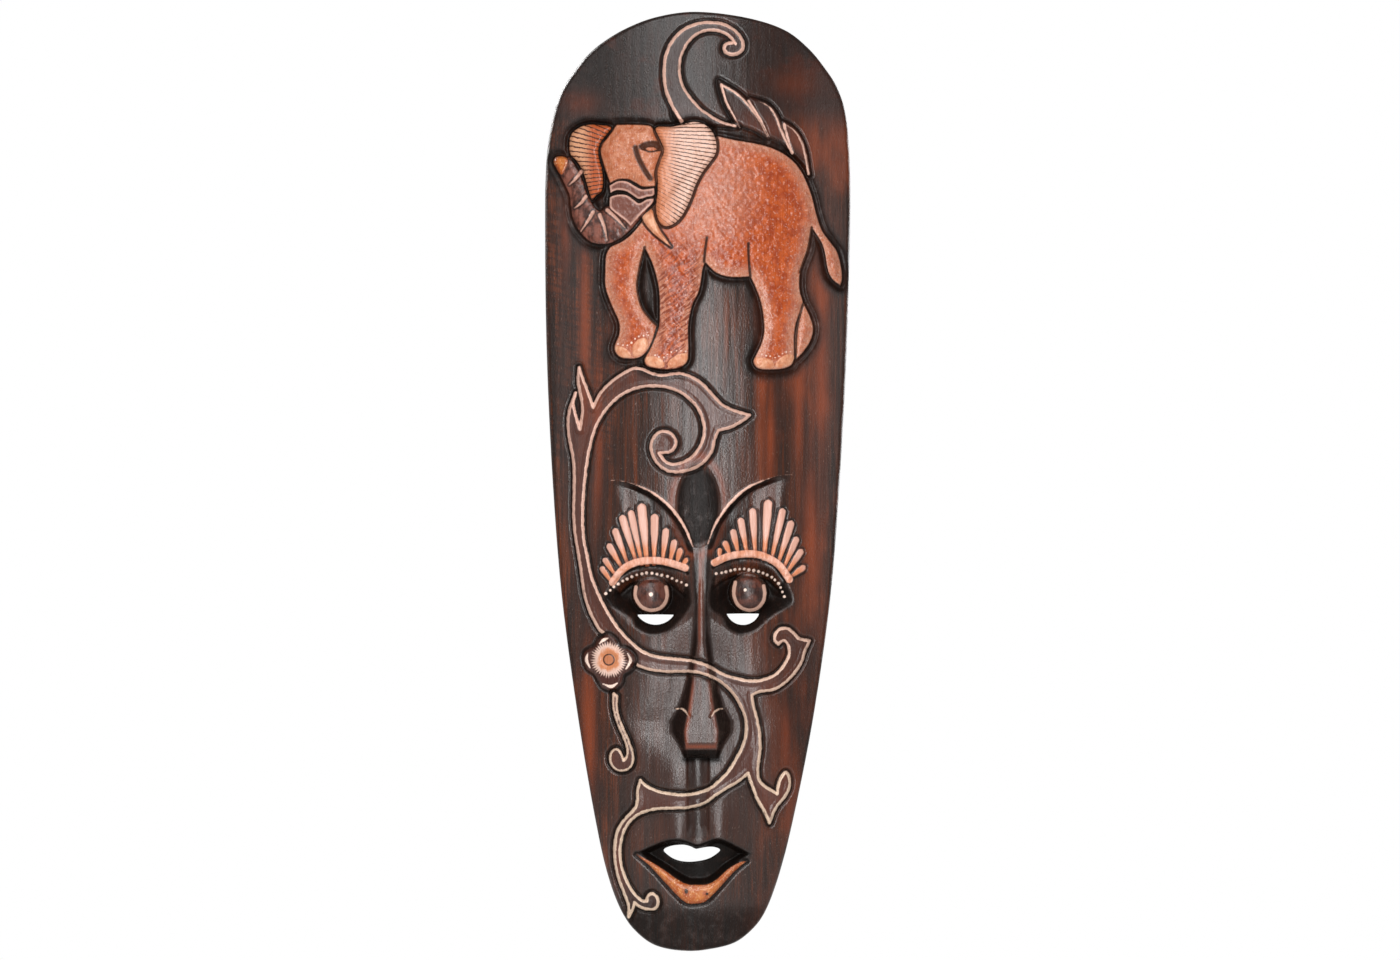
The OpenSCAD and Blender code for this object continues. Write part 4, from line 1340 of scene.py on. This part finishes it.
def hide_colour(w):
    """Orange-red hide with painted highlights: a paler, pinker sheen along its rounded edges and
    over the chest, and small pale glints.
    """
    core = w.blend(w.daub, 0.35, 0.65, (146, 53, 10), (180, 80, 28))
    # painted highlight along the hide's rounded edges
    edge = w.math("POWER", w.ramp(w.paint("hide"), 9.5, -0.5), 1.3)
    pink = w.blend(w.speck, 0.35, 0.65, (178, 106, 74), (208, 160, 138))
    x, z = w.from_spot(2, 408)
    away = w.plus(w.square(x, 26.0), w.square(z, 22.0))
    # painted sheen over the chest
    chest = w.ramp(away, 1.0, 0.0, 0.0, 0.45)
    pale = w.math("MAXIMUM", w.times(edge, w.ramp(w.daub, 0.2, 0.6, 0.5, 0.95)), chest)
    tone = w.mix(pale, core, pink)
    across = w.times(w.ramp(w.axis("X"), -0.024, -0.018), w.ramp(w.axis("X"), 0.004, -0.002))
    leg = w.times(across, w.ramp(w.axis("Z"), CHIN_Z + 0.385, CHIN_Z + 0.365))
    # small painted glints of the varnish
    glint = w.ramp(w.noise(1.0, 1.0, 1.1, 1.0, 0.5), 0.6, 0.7)
    tone = w.part(glint, 0.26, tone, (232, 204, 192))
    tone = w.over(tone, w.speck, 0.52, 0.66, 0.5, (140, 58, 24))
    scratch = w.times(leg, w.ramp(w.noise(5.5, 5.5, 1.2, 1.0, turn=-0.7), 0.46, 0.56))
    return w.part(scratch, 0.85, tone, (120, 46, 20))


def flower_colour(w):
    """Dark petals with pale brush strokes out of an orange eye."""
    away = w.paint("flower_r")
    x, z = w.from_spot(*FLOWER_AT)
    spokes = w.math("SINE", w.times(w.math("ARCTAN2", z, x), 41.0))
    reach = w.plus(away, w.plus(w.times(spokes, 0.8), w.times(w.wobble, 3.0)))
    tone = w.blend(reach, 9.4, 7.4, (66, 32, 24), (218, 184, 168))
    warm = w.plus(away, w.times(w.wobble, 5.0))
    tone = w.over(tone, warm, 7.2, 4.6, 1.0, (196, 124, 82))
    tone = w.over(tone, away, 3.4, 3.0, 1.0, (70, 40, 28))
    return w.over(tone, away, 2.7, 2.2, 1.0, (180, 112, 76))


def lash_colour(w):
    """Pale at the tip, orange and then brown at the root."""
    tone = w.blend(w.paint("lash_tone"), 0.0, 0.2, (140, 72, 46), (206, 128, 90))
    tone = w.over(tone, w.paint("lash_tone"), 0.3, 0.75, 1.0, (208, 158, 140))
    return w.over(tone, w.fine, 0.5, 0.7, 0.35, (176, 118, 96))


def pale_colour(w):
    """Thin pinkish paint, worn through here and there."""
    height = w.ramp(w.axis("Z"), -0.36, -0.2)
    tone = w.mix(height, srgb(224, 196, 172), srgb(222, 178, 160))
    return w.over(tone, w.speck, 0.55, 0.72, 0.5, (150, 104, 84))


def ear_hatch(w):
    """Dark comb lines that fan out across an ear."""
    waves = []
    for at_x, at_z, count in ((-79.0, 437.0, 240.0), (0.0, 415.0, 165.0)):
        x, z = w.from_spot(at_x, at_z)
        angle = w.math("ARCTAN2", z, x)
        swing = w.math("MULTIPLY_ADD", angle, count, w.times(w.wobble, 2.5))
        waves.append(w.math("SINE", swing))
    right, left = waves
    pick = w.ramp(w.paint("left_ear"), -0.5, 0.0)
    return w.node("Mix", {"Factor": pick, "A": right, "B": left}).outputs["Result"]


def raw_colour(w):
    """Bare wood in the hollow: paler, dusty, and stained in patches."""
    tone = w.blend(w.streak, 0.36, 0.66, (104, 66, 42), (152, 106, 70))
    tone = w.over(tone, w.fine, 0.5, 0.72, 0.6, (84, 52, 34))
    tone = w.over(tone, w.patch, 0.5, 0.66, 0.6, (74, 42, 28))
    return w.over(tone, w.daub, 0.55, 0.8, 0.4, (168, 132, 98))


def ear_colour(w):
    """Pinkish ears, redder towards the head, combed with dark lines."""
    tone = w.blend(w.axis("X"), -0.006, -0.021, (214, 172, 152), (196, 120, 82))
    left = w.blend(w.axis("X"), -0.062, -0.055, (204, 146, 110), (172, 82, 40))
    tone = w.mix(w.within("left_ear"), tone, left)
    inner = w.ramp(w.axis("X"), -0.0105, -0.016)
    inner = w.times(inner, w.ramp(w.paint("left_ear"), 0.0, -0.5))
    worn = w.minus(w.minus(ear_hatch(w), w.times(inner, 0.32)), w.times(w.wobble, 0.6))
    return w.over(tone, worn, 0.4, 0.85, 1.0, (72, 36, 24))


def orange_colour(w):
    """The lower lip and the trunk's tip: orange, redder at the edge and flecked."""
    tone = w.blend(w.daub, 0.3, 0.7, (166, 78, 18), (200, 122, 56))
    red_edge = w.ramp(w.plus(w.paint("orange"), w.times(w.wobble, 1.6)), 2.0, 0.4)
    tone = w.part(red_edge, 0.6, tone, (138, 54, 20))
    return w.over(tone, w.speck, 0.56, 0.7, 0.6, (232, 184, 140))


def head_colour(w):
    """Orange-brown forehead with pale glints and dark flecks."""
    tone = w.blend(w.daub, 0.3, 0.65, (170, 90, 52), (190, 122, 90))
    glint = w.noise(1.1, 1.1, 1.3, 2.0, 0.7)
    tone = w.over(tone, glint, 0.58, 0.7, 0.5, (226, 190, 176))
    return w.over(tone, w.speck, 0.54, 0.68, 0.5, (136, 66, 40))


def painted_parts(w):
    """The painted parts and their colours, in the order in which they are laid on."""
    return (
        ("eyeball", w.blend(w.daub, 0.35, 0.6, (44, 21, 16), (88, 46, 34))),
        ("flower", flower_colour(w)), ("lash", lash_colour(w)),
        ("arch", w.blend(w.daub, 0.35, 0.7, (224, 172, 152), (206, 136, 104))),
        ("eye_ring", srgb(196, 156, 138)), ("hide", hide_colour(w)),
        ("trunk", w.blend(w.daub, 0.35, 0.65, (62, 32, 24), (128, 76, 62))),
        ("ears", ear_colour(w)), ("head", head_colour(w)),
        # jaw: brown, paler towards its edges as a painted highlight along the rims
        ("jaw", w.blend(w.paint("jaw"), 1.5, 0.3, (112, 66, 54), (204, 158, 142))),
        ("tan", w.blend(w.daub, 0.3, 0.7, (196, 120, 82), (226, 170, 136))),
        ("orange", orange_colour(w)), ("dots", srgb(240, 212, 196)))


def wood_colour(w, scorch_and_shade, raw):
    """Stain, scorched wood with painted shade, and paint with painted highlights, one over
    another, and the bare back.
    """
    tone = w.part(w.within("vine", 0.4), 0.45, ground_colour(w), (96, 56, 47))
    glow_on = w.times(w.paint("glow"), w.ramp(w.patch, 0.3, 0.5, 0.5, 1.0))
    tone = w.part(glow_on, 0.65, tone, (136, 58, 22))
    # scorched wood and painted shade, near black
    tone = w.mix(scorch_and_shade, tone, srgb(15, 10, 8))
    worn = w.times(w.within("pale", 0.12, 0.3, 1.0), w.ramp(w.daub, 0.28, 0.42, 0.55, 0.95))
    tone = w.mix(worn, tone, pale_colour(w))
    for name, colour in painted_parts(w):
        tone = w.mix(w.within(name), tone, colour)
    # trunk folds: a dark outline, then pale chevrons painted as highlights of the ridges
    tone = w.part(w.within("folds", -1.0), 0.7, tone, (34, 18, 14))
    tone = w.part(w.within("folds"), 0.9, tone, (198, 150, 132))
    # painted shade and scorched wood carried over the painted hide and head along their dark lines
    for name, colour in (("hide", (20, 12, 9)), ("head", (40, 20, 14))):
        scorch_and_shade_on_paint = w.times(w.ramp(w.paint("scorch_and_shade"), 0.3, 0.8), w.ramp(w.paint(name), -1.0, 0.5))
        tone = w.part(scorch_and_shade_on_paint, 0.9, tone, colour)
    return w.mix(raw, tone, raw_colour(w))


def wood_material():
    """Rough wood under a varnish that is missing where the wood is bare and where the scorched
    wood and painted shade are darkest.
    """
    w = Wood()
    scorch_and_shade = scorch_and_shade_amount(w)
    raw = w.ramp(w.plus(w.paint("raw"), w.times(w.wobble, 0.5)), 0.4, 0.7)
    w.set("Base Color", wood_colour(w, scorch_and_shade, raw))
    w.set("Roughness", w.ramp(w.daub, 0.2, 0.8, 0.42, 0.62))
    w.set("Specular IOR Level", 0.05)
    matt = w.math("MAXIMUM", w.times(raw, 0.9), w.ramp(scorch_and_shade, 0.55, 0.95, 0.0, 0.85))
    w.set("Coat Weight", w.minus(1.0, matt))
    w.set("Coat Roughness", w.ramp(w.fine, 0.3, 0.7, 0.24, 0.34))
    grain = w.bump(w.streak, 0.3, 0.5, w.bump(w.fine, 0.35, 0.35))
    w.set("Normal", w.bump(w.speck, 0.25, 0.25, grain))
    w.set("Coat Normal", w.bump(w.speck, 0.6, 0.3, w.bump(w.fine, 0.25, 0.15)))
    return w.material


def metal_material(name, bright, dull, rough):
    """Plain metal with faint draw marks and tarnish."""
    m = Net(name)
    tarnish = m.noise(3.0, 3.0, 3.0, 4.0)
    marks = m.noise(0.15, 0.6, 2.5, 2.0)
    m.set("Base Color", m.mix(m.ramp(tarnish, 0.4, 0.7), bright, dull))
    m.set("Metallic", 1.0)
    m.set("Roughness", m.ramp(tarnish, 0.3, 0.8, rough, rough + 0.2))
    m.set("Normal", m.bump(marks, 0.25, 0.05))
    return m.material


def dress_hanger():
    """The CAD hanger keeps its shape and only takes these finishes."""
    steel = metal_material("strap_steel", srgb(150, 148, 142), srgb(104, 98, 90), 0.34)
    brass = metal_material("ring_brass", srgb(206, 172, 104), srgb(150, 116, 66), 0.24)
    screw = metal_material("screw_steel", srgb(172, 166, 152), srgb(120, 112, 98), 0.28)
    for name, finish in (
            ("hanger_strap", steel), ("hanger_ring", brass),
            ("upper_screw", screw), ("lower_screw", screw)):
        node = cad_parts[name]
        node.data.materials.clear()
        node.data.materials.append(finish)


# ---------------------------------------------------------------- stage


def add_area_light(name, at, aim, size, power):
    data = bpy.data.lights.new(name, "AREA")
    data.shape = "RECTANGLE"
    data.size, data.size_y = size
    data.energy = power
    light = bpy.data.objects.new(name, data)
    light.location = at
    light.rotation_mode = "QUATERNION"
    light.rotation_quaternion = (Vector(aim) - Vector(at)).to_track_quat("-Z", "Y")
    light.visible_camera = False
    bpy.context.scene.collection.objects.link(light)
    return light


def white_world():
    """White to the camera, softer as a light."""
    world = bpy.data.worlds.new("studio")
    bpy.context.scene.world = world
    world.use_nodes = True
    tree = world.node_tree
    tree.nodes.clear()
    out = tree.nodes.new("ShaderNodeOutputWorld")
    lit, seen = [tree.nodes.new("ShaderNodeBackground") for _ in range(2)]
    for node, green, blue, strength in ((lit, 0.985, 0.97, 0.16), (seen, 1.0, 1.0, 1.0)):
        node.inputs["Color"].default_value = (1.0, green, blue, 1.0)
        node.inputs["Strength"].default_value = strength
    path = tree.nodes.new("ShaderNodeLightPath")
    pick = tree.nodes.new("ShaderNodeMixShader")
    for n, socket in enumerate((path.outputs["Is Camera Ray"], lit.outputs[0], seen.outputs[0])):
        tree.links.new(socket, pick.inputs[n])
    tree.links.new(pick.outputs[0], out.inputs["Surface"])


FLOOR_R = 0.9
FLOOR_SIDES = 96
FLOOR_DROP = 0.16


def pale_floor(below):
    """Plain round floor well under the chin, small enough to stay out of a level view."""
    mesh = bpy.data.meshes.new("floor")
    turns = np.linspace(0, 2 * math.pi, FLOOR_SIDES + 1)[:-1]
    edge = [(FLOOR_R * math.cos(a), FLOOR_R * math.sin(a), below) for a in turns]
    mesh.from_pydata(edge, [], [tuple(range(FLOOR_SIDES))])
    floor = bpy.data.objects.new("floor", mesh)
    bpy.context.scene.collection.objects.link(floor)
    net = Net("floor_paint")
    pale = (0.93, 0.93, 0.92, 1), (0.96, 0.96, 0.95, 1)
    net.set("Base Color", net.mix(net.noise(60, 60, 60), *pale))
    net.set("Roughness", 0.9)
    mesh.materials.append(net.material)
    return floor


SHOWN_WIDTH = 0.7475  # width of the picture at the face, in metres
FACE_Y = -0.012
AIM_X = 0.0013
AIM_UP = 0.2507  # over the chin


def frontal_camera():
    """Square on to the face, as far away as its small perspective needs."""
    data = bpy.data.cameras.new("camera")
    data.lens = 150.0
    data.sensor_width = 36.0
    camera = bpy.data.objects.new("camera", data)
    away = SHOWN_WIDTH * SCALE * data.lens / data.sensor_width
    camera.location = (AIM_X, FACE_Y - away, CHIN_Z + AIM_UP * SCALE)
    camera.rotation_euler = (math.pi / 2, 0.0, 0.0)
    bpy.context.scene.collection.objects.link(camera)
    bpy.context.scene.camera = camera


LIGHTS = (  # name, across, out, height over the chin, size, watts
    ("front_tall", 0.03, -2.3, 0.2, (0.35, 1.9), 38),
    ("crown_soft", -0.6, -2.1, 1.6, (2.0, 0.5), 13),
    ("top_soft", -0.1, -1.5, 2.1, (1.6, 0.9), 19),
    ("left_soft", -1.7, -0.9, 0.6, (0.7, 1.2), 3.5),
    ("right_soft", 1.8, -0.75, 0.5, (0.7, 1.2), 3.5),
    ("back_left", -1.3, 1.5, 1.1, (0.6, 0.8), 18),
    ("back_right", 1.2, 1.7, 0.5, (0.6, 0.8), 7))


def light_stage():
    """Soft studio lights round the mask, and the floor."""
    middle = (0.0, -0.03, CHIN_Z + ART_LEN / 2 * MM)
    lights = [add_area_light(name, (x, y, CHIN_Z + up), middle, size, power)
              for name, x, y, up, size, power in LIGHTS]
    floor = pale_floor(CHIN_Z - FLOOR_DROP)


def main():
    mask = build_mask()
    mask.data.materials.append(wood_material())
    dress_hanger()
    white_world()
    light_stage()
    frontal_camera()
    bpy.context.scene.view_settings.view_transform = "Standard"


main()
